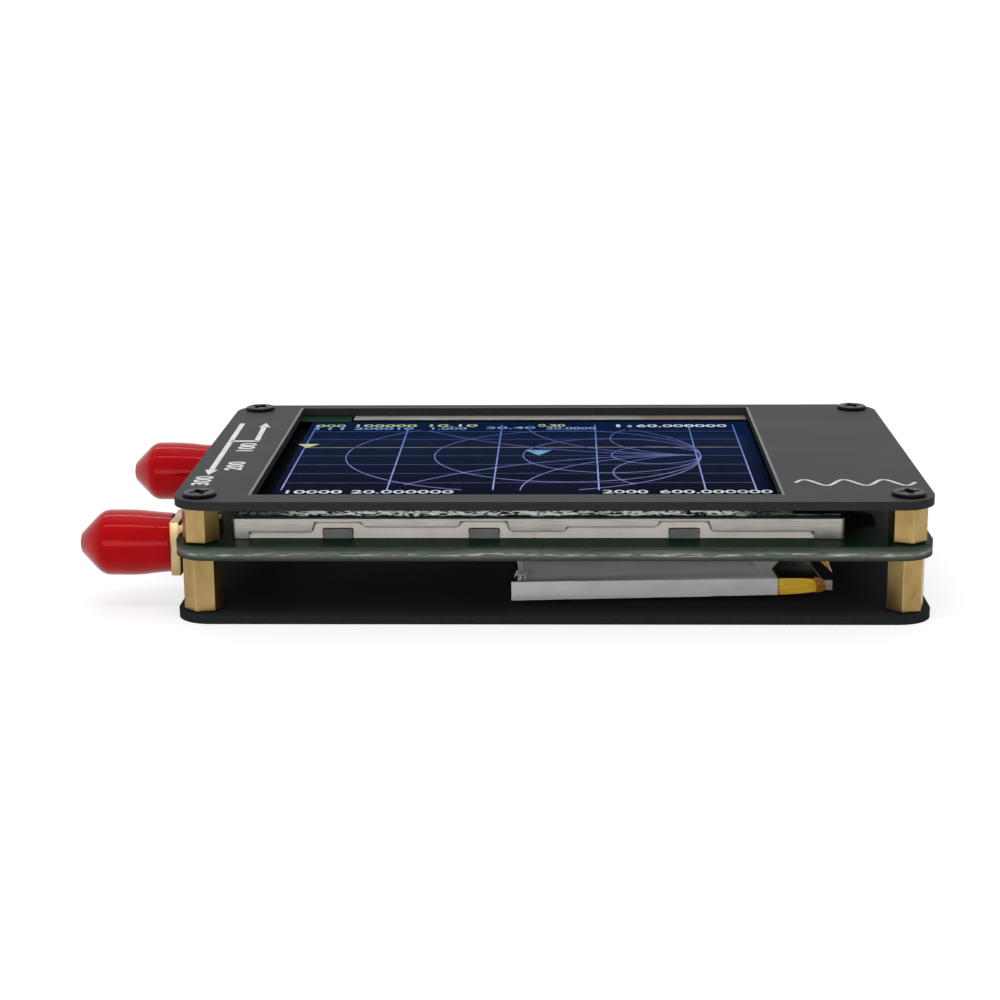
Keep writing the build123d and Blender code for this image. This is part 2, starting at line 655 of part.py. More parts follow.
def guard_board():
    """Protection board of the battery with its two small chips, held in the tape."""
    x = (BATTERY_LENGTH + GUARD_BOARD_INSET, BATTERY_LENGTH + GUARD_BOARD_INSET + GUARD_BOARD_LENGTH)
    y = inset((0, BATTERY_DEPTH), GUARD_BOARD_INSET)
    z = (TAPE_THICKNESS, TAPE_THICKNESS + GUARD_BOARD_THICKNESS)
    board = block(x, y, z)
    for index in (1, 2):
        chip_y = around(y[0] + index * GUARD_CHIP_PITCH, GUARD_CHIP_WIDTH)
        board += block(inset(x, GUARD_BOARD_INSET), chip_y, (z[1], z[1] + GUARD_CHIP_HEIGHT))
    return BATTERY_PLACE * board


def battery_tape():
    """Amber film sleeve folded round the protection board, open towards the right."""
    x = (BATTERY_LENGTH, BATTERY_LENGTH + TAPE_LENGTH)
    y = (0, BATTERY_DEPTH)
    sleeve = block(x, y, (0, TAPE_HEIGHT))
    sleeve = fillet(sleeve.edges().filter_by(Axis.X), 2 * TAPE_THICKNESS)
    hollow_x = (x[0] + TAPE_THICKNESS, x[1] + 1)
    sleeve -= block(hollow_x, inset(y, TAPE_THICKNESS), inset((0, TAPE_HEIGHT), TAPE_THICKNESS))
    return BATTERY_PLACE * sleeve


def lead_starts():
    """Ends of the two battery leads on the protection board, near its back end."""
    x = BATTERY_LENGTH + 2 * GUARD_BOARD_INSET
    y = BATTERY_DEPTH - LEAD_BACK_INSET
    level = TAPE_THICKNESS + GUARD_BOARD_THICKNESS + LEAD_RADIUS + SOLID_FIT
    places = {"red": y - LEAD_PITCH / 2, "black": y + LEAD_PITCH / 2}
    return {colour: (BATTERY_PLACE * Pos(x, side, level)).position for colour, side in places.items()}


def battery_lead(colour):
    """Insulated lead from the protection board up to its solder pad."""
    start = lead_starts()[colour]
    pad_x = RIGHT - LEAD_PAD_RIGHT_MARGIN
    route = Polyline(
        (start.X, start.Y, start.Z),
        (pad_x - LEAD_BEND, start.Y, start.Z),
        (pad_x, start.Y, start.Z + LEAD_BEND),
        (pad_x, start.Y, BOARD_BOTTOM - SOLDER_HEIGHT),
    )
    section = Plane(origin=route @ 0, z_dir=route % 0) * Circle(LEAD_RADIUS)
    return sweep(section, path=route, transition=Transition.RIGHT)


def lead_joints():
    """Solder domes that hold the battery leads."""
    dome = Cone(SOLDER_RADIUS, LEAD_RADIUS, SOLDER_HEIGHT, align=UPRIGHT)
    pad_x = RIGHT - LEAD_PAD_RIGHT_MARGIN
    return [Pos(pad_x, start.Y, BOARD_BOTTOM) * Rot(180, 0, 0) * dome for start in lead_starts().values()]


def tape_scrap():
    """Amber film scrap stuck under the board near the front, its free end hanging down."""
    x = around(RIGHT - SCRAP_RIGHT_MARGIN - SCRAP_WIDTH / 2, SCRAP_WIDTH)
    front = FRONT + SCRAP_FRONT_MARGIN
    stuck = block(x, (front, front + SCRAP_GRIP), (BOARD_BOTTOM - SCRAP_THICKNESS, BOARD_BOTTOM))
    return stuck + block(x, (front, front + SCRAP_THICKNESS), (BOARD_BOTTOM - SCRAP_HEIGHT, BOARD_BOTTOM))


# ---- Chips on the underside, first made standing on the plane Z = 0 ----


def under_board(x, y, shape, turn=0.0):
    """Hangs a shape that stands on Z = 0 from the board's underside."""
    return Pos(x, y, BOARD_BOTTOM) * Rot(180, 0, turn) * shape


def gull_lead(body_edge, height, width):
    """Bent lead that leaves a chip body at half its height and stands on the board."""
    mid = CHIP_STANDOFF + height / 2
    reach = body_edge + LEAD_FOOT
    outline = Polyline(
        (body_edge, mid),
        (body_edge + LEAD_FOOT / 2, mid),
        (body_edge + LEAD_FOOT / 2 + LEAD_SHEET, LEAD_SHEET),
        (reach + LEAD_FOOT / 2, LEAD_SHEET),
        (reach + LEAD_FOOT / 2, 0),
        (body_edge + LEAD_FOOT / 2, 0),
        (body_edge + LEAD_FOOT / 2 - LEAD_SHEET, mid - LEAD_SHEET),
        (body_edge, mid - LEAD_SHEET),
        close=True,
    )
    return extrude(Plane.XZ * make_face(outline), width / 2, both=True)


def leaded_chip(length, depth, height, pitch, count, four_sided=False):
    """Chip body with a row of bent leads on two or four sides."""
    body = block(around(0, length), around(0, depth), (CHIP_STANDOFF, CHIP_STANDOFF + height))
    rows = [(depth / 2, 90), (depth / 2, 270)]
    if four_sided:
        rows += [(length / 2, 0), (length / 2, 180)]
    leads = []
    for edge, turn in rows:
        lead = gull_lead(edge, height, pitch * 0.45)
        for index in range(count):
            slide = (index - (count - 1) / 2) * pitch
            leads.append(Rot(0, 0, turn) * Pos(0, slide, 0) * lead)
    return body + leads


def rf_shield():
    """Folded shield can over the mixers, its walls parted at the corners."""
    y = around(0, SHIELD_DEPTH)
    lid = BOARD_BOTTOM - SHIELD_HEIGHT
    can = block(SHIELD_X, y, (lid, BOARD_BOTTOM))
    can -= block(inset(SHIELD_X, SHIELD_SHEET), inset(y, SHIELD_SHEET), (lid + SHIELD_SHEET, BOARD_BOTTOM + 1))
    for corner_x in SHIELD_X:
        for corner_y in y:
            slot = 2 * SHIELD_CORNER_GAP
            can -= block(around(corner_x, slot), around(corner_y, slot), (lid - 1, BOARD_BOTTOM + 1))
    return can


def mixer_chips():
    """Three mixers under the shield can."""
    chip = leaded_chip(MIXER_LENGTH, MIXER_DEPTH, MIXER_HEIGHT, MIXER_PITCH, 4)
    first_x = SHIELD_X[0] + SHIELD_LENGTH * 0.3
    spots = [(first_x, -SHIELD_DEPTH / 4), (first_x, SHIELD_DEPTH / 4), (SHIELD_X[1] - SHIELD_LENGTH * 0.3, 0)]
    return [under_board(x, y, chip) for x, y in spots]


def controller_chip():
    """Main controller, with leads on four sides."""
    chip = leaded_chip(
        CONTROLLER_SIDE, CONTROLLER_SIDE, CONTROLLER_HEIGHT, CONTROLLER_PITCH, CONTROLLER_LEAD_COUNT, four_sided=True
    )
    return under_board(CHIP_COLUMN_X, BACK - 1.6 * CONTROLLER_SIDE, chip)


def codec_chip():
    """Leadless audio codec."""
    chip = block(around(0, CODEC_SIDE), around(0, CODEC_SIDE), (0, CODEC_HEIGHT))
    return under_board(CHIP_COLUMN_X, 0, chip)


def clock_chip():
    """Clock generator with leads on two sides."""
    chip = leaded_chip(CLOCK_SIDE, CLOCK_SIDE, CLOCK_HEIGHT, CLOCK_PITCH, 5)
    return under_board(CHIP_COLUMN_X, -3 * CLOCK_SIDE, chip)


def crystals():
    """Reference oscillator beside the clock chip and crystal beside the controller."""
    can = block(around(0, CRYSTAL_LENGTH), around(0, CRYSTAL_DEPTH), (0, CRYSTAL_HEIGHT))
    can = chamfer(can.edges().filter_by(Axis.Z), CRYSTAL_HEIGHT / 2)
    rows = (-3 * CLOCK_SIDE - 2 * CRYSTAL_LENGTH, BACK - 2.6 * CONTROLLER_SIDE)
    return [under_board(CHIP_COLUMN_X, y, can) for y in rows]


def charger_chip():
    """Battery charger chip between the socket and the slide switch."""
    chip = leaded_chip(MIXER_LENGTH, MIXER_DEPTH, MIXER_HEIGHT, MIXER_PITCH, 4)
    return under_board((SOCKET_X + SWITCH_X) / 2 + MIXER_DEPTH, BACK - 2.4 * MIXER_LENGTH, chip, 90)


def power_inductor():
    """Square shielded inductor of the power converter."""
    coil = block(around(0, INDUCTOR_SIDE), around(0, INDUCTOR_SIDE), (0, INDUCTOR_HEIGHT))
    coil = chamfer(coil.edges().filter_by(Axis.Z), INDUCTOR_SIDE / 6)
    return under_board(SWITCH_X + 2 * INDUCTOR_SIDE, BACK - 3 * INDUCTOR_SIDE, coil)


def part_grid(x, y, columns, rows, height):
    """Group of two-ended chip parts in a grid."""
    body = block(around(0, CHIP_PART_LENGTH), around(0, CHIP_PART_DEPTH), (0, height))
    spots = GridLocations(CHIP_PART_LENGTH + CHIP_PART_DEPTH, PART_PITCH, columns, rows)
    return [under_board(x + spot.position.X, y + spot.position.Y, body) for spot in spots]


def capacitors():
    """Chip capacitors beside the chips they serve."""
    groups = part_grid(SHIELD_X[1] + 3 * CHIP_PART_DEPTH, SHIELD_DEPTH / 3, 1, 4, CAPACITOR_HEIGHT)
    groups += part_grid(CHIP_COLUMN_X + CONTROLLER_SIDE, SOCKET_Y[0] - 3 * PART_PITCH, 2, 2, CAPACITOR_HEIGHT)
    groups += part_grid(SWITCH_X, BACK - 2 * SWITCH_DEPTH, 3, 1, CAPACITOR_HEIGHT)
    groups += part_grid(LEVER_X, LEVER_BACK - 2 * LEVER_CASE_DEPTH, 2, 2, CAPACITOR_HEIGHT)
    return groups


def resistors():
    """Chip resistors beside the chips they serve."""
    groups = part_grid(SHIELD_X[1] + 3 * CHIP_PART_DEPTH, -SHIELD_DEPTH / 3, 1, 5, RESISTOR_HEIGHT)
    groups += part_grid(CHIP_COLUMN_X + CONTROLLER_SIDE, SOCKET_Y[0] - 6 * PART_PITCH, 2, 2, RESISTOR_HEIGHT)
    for side in JACK_Y.values():
        groups += part_grid(LEFT + JACK_LEG_LENGTH + 3 * CHIP_PART_LENGTH, side, 2, 2, RESISTOR_HEIGHT)
    return groups


def status_lamps():
    """Two small lamps at the back edge beside the charge socket."""
    lamp = block(around(0, CHIP_PART_DEPTH), around(0, CHIP_PART_LENGTH), (0, CAPACITOR_HEIGHT))
    x = SOCKET_X - SOCKET_WIDTH
    return [under_board(x + shift * PART_PITCH, BACK - CHIP_PART_LENGTH, lamp) for shift in (-1, 1)]


# ---- Charge socket ----


def socket_tube(shrink, y):
    """Flat-sided tube outline of the socket, drawn in by an amount, along Y."""
    width = SOCKET_WIDTH - 2 * shrink
    height = SOCKET_HEIGHT - 2 * shrink
    outline = SlotOverall(width, height)
    tube = extrude(Plane.XZ * outline, y[1] - y[0])
    return Pos(SOCKET_X, y[1], SOCKET_Z) * tube


def socket_shell():
    """Drawn metal shell of the charge socket with four legs into the board."""
    shell = socket_tube(0, SOCKET_Y) - socket_tube(SOCKET_SHEET, (SOCKET_Y[0] - 1, SOCKET_Y[1] + 1))
    for x, y in socket_leg_places():
        leg_z = (SOCKET_Z, BOARD_BOTTOM + SOCKET_LEG_LENGTH)
        shell += block(around(x, SOCKET_SHEET), around(y, SOCKET_LEG_WIDTH), leg_z)
    return shell


def socket_tongue():
    """Plastic block that closes the shell's inner end and carries the tongue."""
    block_y = (SOCKET_Y[0], SOCKET_Y[0] + SOCKET_BLOCK_DEPTH)
    plug = socket_tube(SOCKET_SHEET + SOLID_FIT, block_y)
    tongue_y = (block_y[1], block_y[1] + TONGUE_REACH)
    tongue = block(around(SOCKET_X, TONGUE_WIDTH), tongue_y, around(SOCKET_Z, TONGUE_THICKNESS))
    tongue = fillet(tongue.edges().filter_by(Axis.Z).group_by(Axis.Y)[-1], TONGUE_THICKNESS)
    return plug + tongue


def socket_contacts():
    """Gold contact strips on both faces of the tongue."""
    start = SOCKET_Y[0] + SOCKET_BLOCK_DEPTH
    strips = []
    for index in range(PAD_COUNT):
        x = around(SOCKET_X + (index - (PAD_COUNT - 1) / 2) * PAD_PITCH, PAD_WIDTH)
        for sign in (-1, 1):
            level = SOCKET_Z + sign * (TONGUE_THICKNESS + PAD_SKIN) / 2
            strips.append(block(x, (start, start + TONGUE_REACH - TONGUE_THICKNESS), around(level, PAD_SKIN)))
    return strips


# ---- Power slide switch ----

SWITCH_Y = (BACK - SWITCH_DEPTH, BACK)
SWITCH_Z = (BOARD_BOTTOM - SWITCH_HEIGHT, BOARD_BOTTOM)
SLIDER_Z = around((SWITCH_Z[0] + SWITCH_SHEET + SWITCH_Z[1] - SWITCH_BASE_HEIGHT) / 2, SLIDER_HEIGHT)
SLIDER_REST_X = SWITCH_X - SLIDER_TRAVEL / 2


def power_switch_case():
    """Folded cover of the slide switch, with the slider's slot in its back wall."""
    x = around(SWITCH_X, SWITCH_WIDTH)
    case = block(x, SWITCH_Y, SWITCH_Z)
    case -= block(inset(x, SWITCH_SHEET), inset(SWITCH_Y, SWITCH_SHEET), (SWITCH_Z[0] + SWITCH_SHEET, SWITCH_Z[1] + 1))
    slot_x = around(SWITCH_X, SLIDER_WIDTH + SLIDER_TRAVEL + 4 * SLIDER_GAP)
    slot_z = (SLIDER_Z[0] - SLIDER_GAP, SLIDER_Z[1] + SLIDER_GAP)
    return case - block(slot_x, (BACK - 2 * SWITCH_SHEET, BACK + 1), slot_z)


def power_switch_base():
    """Plastic floor of the slide switch, against the board."""
    x = inset(around(SWITCH_X, SWITCH_WIDTH), SWITCH_SHEET + SOLID_FIT)
    y = inset(SWITCH_Y, SWITCH_SHEET + SOLID_FIT)
    return block(x, y, (SWITCH_Z[1] - SWITCH_BASE_HEIGHT, SWITCH_Z[1]))


def power_slider():
    """Slider: a knob through the slot and a wider shoe inside the case."""
    inner = BACK - SWITCH_SHEET - SLIDER_GAP
    knob = block(around(SLIDER_REST_X, SLIDER_WIDTH), (inner, BACK + SLIDER_REACH), SLIDER_Z)
    knob = fillet(knob.edges().filter_by(Axis.Z).group_by(Axis.Y)[-1], SLIDER_WIDTH / 5)
    shoe = block(around(SLIDER_REST_X, SLIDER_SHOE_WIDTH), (inner - SLIDER_SHOE_DEPTH, inner), SLIDER_Z)
    return knob + shoe


# ---- Lever switch ----

LEVER_Y = (LEVER_BACK - LEVER_CASE_DEPTH, LEVER_BACK)
LEVER_Z = (BOARD_BOTTOM - LEVER_CASE_HEIGHT, BOARD_BOTTOM)
CAVITY_Z = (LEVER_Z[0] + LEVER_SHEET, LEVER_Z[1] - LEVER_BASE_HEIGHT)
PLUNGER_Z = inset(CAVITY_Z, LEVER_GAP)
ARM_Z = around((PLUNGER_Z[0] + PLUNGER_FLOOR + PLUNGER_Z[1]) / 2, ARM_THICKNESS)


def lever_switch_case():
    """Folded cover of the lever switch, with the lever's mouth in its back wall."""
    x = around(LEVER_X, LEVER_CASE_WIDTH)
    case = block(x, LEVER_Y, LEVER_Z)
    case -= block(inset(x, LEVER_SHEET), inset(LEVER_Y, LEVER_SHEET), (CAVITY_Z[0], LEVER_Z[1] + 1))
    mouth = block(around(LEVER_X, LEVER_MOUTH_WIDTH), (LEVER_BACK - 2 * LEVER_SHEET, LEVER_BACK + 1), CAVITY_Z)
    return case - mouth


def lever_switch_base():
    """Plastic floor of the lever switch, against the board."""
    x = inset(around(LEVER_X, LEVER_CASE_WIDTH), LEVER_SHEET + SOLID_FIT)
    y = inset(LEVER_Y, LEVER_SHEET + SOLID_FIT)
    return block(x, y, (CAVITY_Z[1], LEVER_Z[1]))


def lever_plunger():
    """Carrier that is pushed in by the lever, with the pin that the lever turns on."""
    back = LEVER_BACK - LEVER_SHEET - LEVER_GAP
    carrier = block(around(LEVER_X, PLUNGER_WIDTH), (back - PLUNGER_DEPTH, back), PLUNGER_Z)
    pocket_z = (PLUNGER_Z[0] + PLUNGER_FLOOR, PLUNGER_Z[1] + 1)
    carrier -= upright(HUB_RADIUS + LEVER_GAP, *pocket_z, LEVER_X, PIVOT_Y)
    swing = PIVOT_SETBACK * math.tan(math.radians(LEVER_TILT)) + ARM_WIDTH / 2 + LEVER_GAP
    carrier -= block(around(LEVER_X, 2 * swing), (PIVOT_Y, back + 1), pocket_z)
    return carrier + upright(PIVOT_RADIUS, PLUNGER_Z[0], PLUNGER_Z[1], LEVER_X, PIVOT_Y)


def lever_arm():
    """Lever: a hub on the pin, a neck through the mouth and a dished thumb piece outside."""
    hub = upright(HUB_RADIUS, *ARM_Z, LEVER_X, PIVOT_Y)
    inner = LEVER_BACK + THUMB_CLEARANCE
    neck = block(around(LEVER_X, ARM_WIDTH), (PIVOT_Y, inner + THUMB_DEPTH / 2), ARM_Z)
    thumb_z = around((ARM_Z[0] + ARM_Z[1]) / 2, THUMB_THICKNESS)
    thumb = block(around(LEVER_X, THUMB_WIDTH), (inner, inner + THUMB_DEPTH), thumb_z)
    thumb = fillet(thumb.edges().filter_by(Axis.Z), THUMB_DEPTH / 3)
    dish_radius = (THUMB_WIDTH / 4) ** 2 / (2 * THUMB_DISH) + THUMB_DISH / 2
    dish = upright(dish_radius, thumb_z[0] - 1, thumb_z[1] + 1, LEVER_X, inner + THUMB_DEPTH + dish_radius - THUMB_DISH)
    arm = hub + neck + (thumb - dish)
    return arm - upright(PIVOT_RADIUS + LEVER_GAP, ARM_Z[0] - 1, ARM_Z[1] + 1, LEVER_X, PIVOT_Y)


PARTS = {
    "bottom_plate": bottom_plate(),
    "top_plate": top_plate(),
    "main_board": main_board(),
    "lower_pillars": lower_pillars(),
    "upper_pillars": upper_pillars(),
    "top_screws": top_screws(),
    "bottom_screws": bottom_screws(),
    "screen_cover": screen_cover(),
    "tray_latches": latch_blocks(0),
    "backlight_tray": backlight_tray(),
    "light_guide": tray_fill(0, GUIDE_THICKNESS),
    "backlight_films": tray_fill(GUIDE_THICKNESS, GUIDE_THICKNESS + FILM_THICKNESS),
    "glass_rim_tape": glass_rim_tape(),
    "screen_glass": screen_glass(),
    "polarizer": polarizer(),
    "touch_rim_tape": touch_rim_tape(),
    "touch_panel": touch_panel(),
    "display_driver": display_driver(),
    "screen_ribbon": screen_ribbon(),
    "touch_ribbon": touch_ribbon(),
    "coax_jack_front": coax_jack("front"),
    "coax_jack_back": coax_jack("back"),
    "jack_insulators": jack_insulators(),
    "jack_contacts": jack_contacts(),
    "dust_cap_front": dust_cap("front", FRONT_CAP_GAP),
    "dust_cap_back": dust_cap("back", BACK_CAP_GAP),
    "battery_pouch": battery_pouch(),
    "battery_pad": battery_pad(),
    "guard_board": guard_board(),
    "battery_tape": battery_tape(),
    "battery_lead_red": battery_lead("red"),
    "battery_lead_black": battery_lead("black"),
    "lead_joints": lead_joints(),
    "tape_scrap": tape_scrap(),
    "rf_shield": rf_shield(),
    "mixer_chips": mixer_chips(),
    "controller_chip": controller_chip(),
    "codec_chip": codec_chip(),
    "clock_chip": clock_chip(),
    "crystals": crystals(),
    "charger_chip": charger_chip(),
    "power_inductor": power_inductor(),
    "capacitors": capacitors(),
    "resistors": resistors(),
    "status_lamps": status_lamps(),
    "socket_shell": socket_shell(),
    "socket_tongue": socket_tongue(),
    "socket_contacts": socket_contacts(),
    "power_switch_case": power_switch_case(),
    "power_switch_base": power_switch_base(),
    "power_slider": power_slider(),
    "lever_switch_case": lever_switch_case(),
    "lever_switch_base": lever_switch_base(),
    "lever_plunger": lever_plunger(),
    "lever_arm": lever_arm(),
}

os.makedirs("parts", exist_ok=True)
for name, shape in PARTS.items():
    export_step(Compound(shape) if isinstance(shape, list) else shape, f"parts/{name}.step")
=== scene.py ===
"""Dresses a pocket antenna analyzer: two black panels on brass pillars with a board and colour screen
between them, two edge jacks under soft red caps and a flat battery below the board.

Lengths and places are written in millimetres and turned into metres by MM. Colours are written as
screen colours."""

import json
import math

import bmesh
import bpy
from mathutils import Matrix, Vector, noise


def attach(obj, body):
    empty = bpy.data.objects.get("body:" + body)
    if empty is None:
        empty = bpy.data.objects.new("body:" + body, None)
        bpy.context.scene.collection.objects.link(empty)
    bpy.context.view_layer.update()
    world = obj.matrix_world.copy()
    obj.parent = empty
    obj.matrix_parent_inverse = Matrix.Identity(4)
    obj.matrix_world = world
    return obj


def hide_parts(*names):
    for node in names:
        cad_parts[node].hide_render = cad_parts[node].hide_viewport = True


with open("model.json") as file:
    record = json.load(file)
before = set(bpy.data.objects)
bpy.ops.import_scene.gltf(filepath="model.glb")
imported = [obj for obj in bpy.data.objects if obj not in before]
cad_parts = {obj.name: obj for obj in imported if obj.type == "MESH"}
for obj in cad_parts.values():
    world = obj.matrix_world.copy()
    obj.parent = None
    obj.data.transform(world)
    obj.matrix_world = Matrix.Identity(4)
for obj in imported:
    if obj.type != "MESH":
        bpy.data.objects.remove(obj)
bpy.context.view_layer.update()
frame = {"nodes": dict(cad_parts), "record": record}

MM = 0.001

# ---- Levels and places of the pieces that the new ones meet ----

PLATE_TOP = 14.2
WINDOW_X = (-34.0, 25.7)
WINDOW_Y = (-23.7, 25.0)
TOUCH_TOP = 13.1
POLARIZER_TOP = 12.34
HOLES = [(x, y) for y in (-24.0, 24.0) for x in (-39.75, 39.75)]
LEFT_EDGE = -42.75
JACK_Z = 7.15
JACK_Y = {"front": -18.0, "back": 18.0}
FLANGE_THICKNESS = 1.2
JACK_FACE = LEFT_EDGE - FLANGE_THICKNESS
BOARD_LEVELS = (7.4, 9.0)
SEAM_LOWEST = 9.35
BATTERY_CORNER = (-4.7, -22.3, 1.3)
BATTERY_TURN = math.radians(4.3)
BATTERY_SIZE = (30.7, 27.0, 2.5)


# ---- Working on a piece ----


def deselect():
    bpy.ops.object.select_all(action="DESELECT")


def activate(*pieces):
    deselect()
    for piece in pieces:
        piece.select_set(True)
    bpy.context.view_layer.objects.active = pieces[0]


def made(name):
    """Names the piece that was just added and puts its place into its mesh."""
    piece = bpy.context.object
    piece.name = name
    piece.data.name = name
    activate(piece)
    bpy.ops.object.transform_apply(location=True, rotation=True, scale=True)
    return piece


def edit(piece, kind="FACE", test=None):
    """Opens a piece for editing with the faces, edges or points selected that pass the test."""
    activate(piece)
    bpy.ops.object.mode_set(mode="EDIT")
    bpy.ops.mesh.select_mode(type=kind)
    bpy.ops.mesh.select_all(action="DESELECT" if test else "SELECT")
    if test:
        form = bmesh.from_edit_mesh(piece.data)
        for item in {"VERT": form.verts, "EDGE": form.edges, "FACE": form.faces}[kind]:
            if test(item):
                item.select_set(True)
        form.select_flush_mode()
        bmesh.update_edit_mesh(piece.data)


def close():
    bpy.ops.object.mode_set(mode="OBJECT")


def close_outwards():
    """Turns every face outwards and ends the edit."""
    bpy.ops.mesh.select_all(action="SELECT")
    bpy.ops.mesh.normals_make_consistent(inside=False)
    close()


def subdivided(piece, cuts, kind="EDGE", test=None):
    edit(piece, kind, test)
    bpy.ops.mesh.subdivide(number_cuts=cuts)
    close()


def raised(piece, height):
    """Gives a flat piece its thickness, upwards."""
    edit(piece)
    bpy.ops.mesh.extrude_region_move(TRANSFORM_OT_translate={"value": (0, 0, height * MM)})
    close_outwards()
    return piece


def smooth(piece, angle=35):
    activate(piece)
    bpy.ops.object.shade_smooth_by_angle(angle=math.radians(angle))
    return piece


def modified(piece, kind, **settings):
    activate(piece)
    modifier = piece.modifiers.new(kind.title(), kind)
    for key, value in settings.items():
        setattr(modifier, key, value)
    bpy.ops.object.modifier_apply(modifier=modifier.name)
    return piece


def joined(name, pieces):
    activate(*pieces)
    if len(pieces) > 1:
        bpy.ops.object.join()
    piece = bpy.context.object
    piece.name = name
    piece.data.name = name
    return piece


def moved(piece, place=(0, 0, 0), turn=(0, 0, 0), scale=(1, 1, 1)):
    """Turns, scales and moves a piece about the origin, inside its mesh."""
    activate(piece)
    piece.scale = scale
    piece.rotation_euler = [math.radians(angle) for angle in turn]
    piece.location = Vector(place) * MM
    bpy.ops.object.transform_apply(location=True, rotation=True, scale=True)
    return piece


def copied(piece, name):
    twin = piece.copy()
    twin.data = piece.data.copy()
    twin.name = name
    bpy.context.collection.objects.link(twin)
    return twin


def shaped(piece, shift):
    """Moves every point of a piece by what shift gives for its place, both in millimetres."""
    for vertex in piece.data.vertices:
        vertex.co += Vector(shift(vertex.co / MM)) * MM
    piece.data.update()
    return piece


def block(name, low, high, edge=0.0, steps=2):
    """A block between two corners with its edges rounded."""
    deselect()
    low, high = Vector(low), Vector(high)
    bpy.ops.mesh.primitive_cube_add(size=1, location=(low + high) / 2 * MM, scale=(high - low) * MM)
    piece = made(name)
    if edge:
        edit(piece, "EDGE")
        bpy.ops.mesh.bevel(offset=edge * MM, segments=steps, affect="EDGES")
        close()
    return piece


def plane(name, low, high, level):
    """A flat face between two corners at a level."""
    deselect()
    low, high = Vector((*low, level)), Vector((*high, level))
    bpy.ops.mesh.primitive_plane_add(size=1, location=(low + high) / 2 * MM)
    bpy.context.object.scale = [(b - a) * MM for a, b in zip(low, high)][:2] + [1]
    return made(name)


def turned(name, profile, centre=(0, 0, 0), axis=(0, 0, 1), segments=48):
    """A form turned about an axis. Its profile lists (distance along the axis, radius), ring by ring."""
    deselect()
    axis, centre = Vector(axis), Vector(centre)
    along, radius = profile[0]
    bpy.ops.mesh.primitive_circle_add(
        vertices=segments,
        radius=radius * MM,
        location=(centre + axis * along) * MM,
        rotation=axis.to_track_quat("Z", "Y").to_euler(),
    )
    piece = made(name)
    edit(piece, "EDGE")
    for step, width in profile[1:]:
        bpy.ops.mesh.extrude_edges_move(TRANSFORM_OT_translate={"value": axis * (step - along) * MM})
        bpy.ops.transform.resize(value=[width / radius] * 3, center_override=(centre + axis * step) * MM)
        along, radius = step, width
    bpy.ops.mesh.select_all(action="SELECT")
    bpy.ops.mesh.fill_holes(sides=0)
    close_outwards()
    return piece


def triangle(name, corners, low, height):
    """A small triangle of even thickness between three corners."""
    deselect()
    bpy.ops.mesh.primitive_circle_add(vertices=3, radius=1 * MM, fill_type="NGON")
    piece = made(name)
    for vertex, (x, y) in zip(piece.data.vertices, corners):
        vertex.co = Vector((x, y, low)) * MM
    return raised(piece, height)


def arc(centre, radius, start, end, steps):
    """Profile points on an arc. Its angles run from the axis' direction towards the outside."""
    angles = [math.radians(start + (end - start) * step / steps) for step in range(steps + 1)]
    return [(centre[0] + radius * math.cos(a), centre[1] + radius * math.sin(a)) for a in angles]


def placed(piece, body, slot, finish, *replaced):
    """Gives a piece its finish and its body, and hides the nodes that it stands for. The slot is not used."""
    piece.data.materials.clear()
    piece.data.materials.append(finish)
    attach(piece, body)
    if replaced:
        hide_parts(*replaced)
    return piece


# ---- Finishes ----


def tint(red, green, blue):
    """A screen colour, 0 to 255, as the linear colour that shaders take."""
    def linear(value):
        value /= 255
        return value / 12.92 if value <= 0.04045 else ((value + 0.055) / 1.055) ** 2.4
    return (linear(red), linear(green), linear(blue), 1.0)


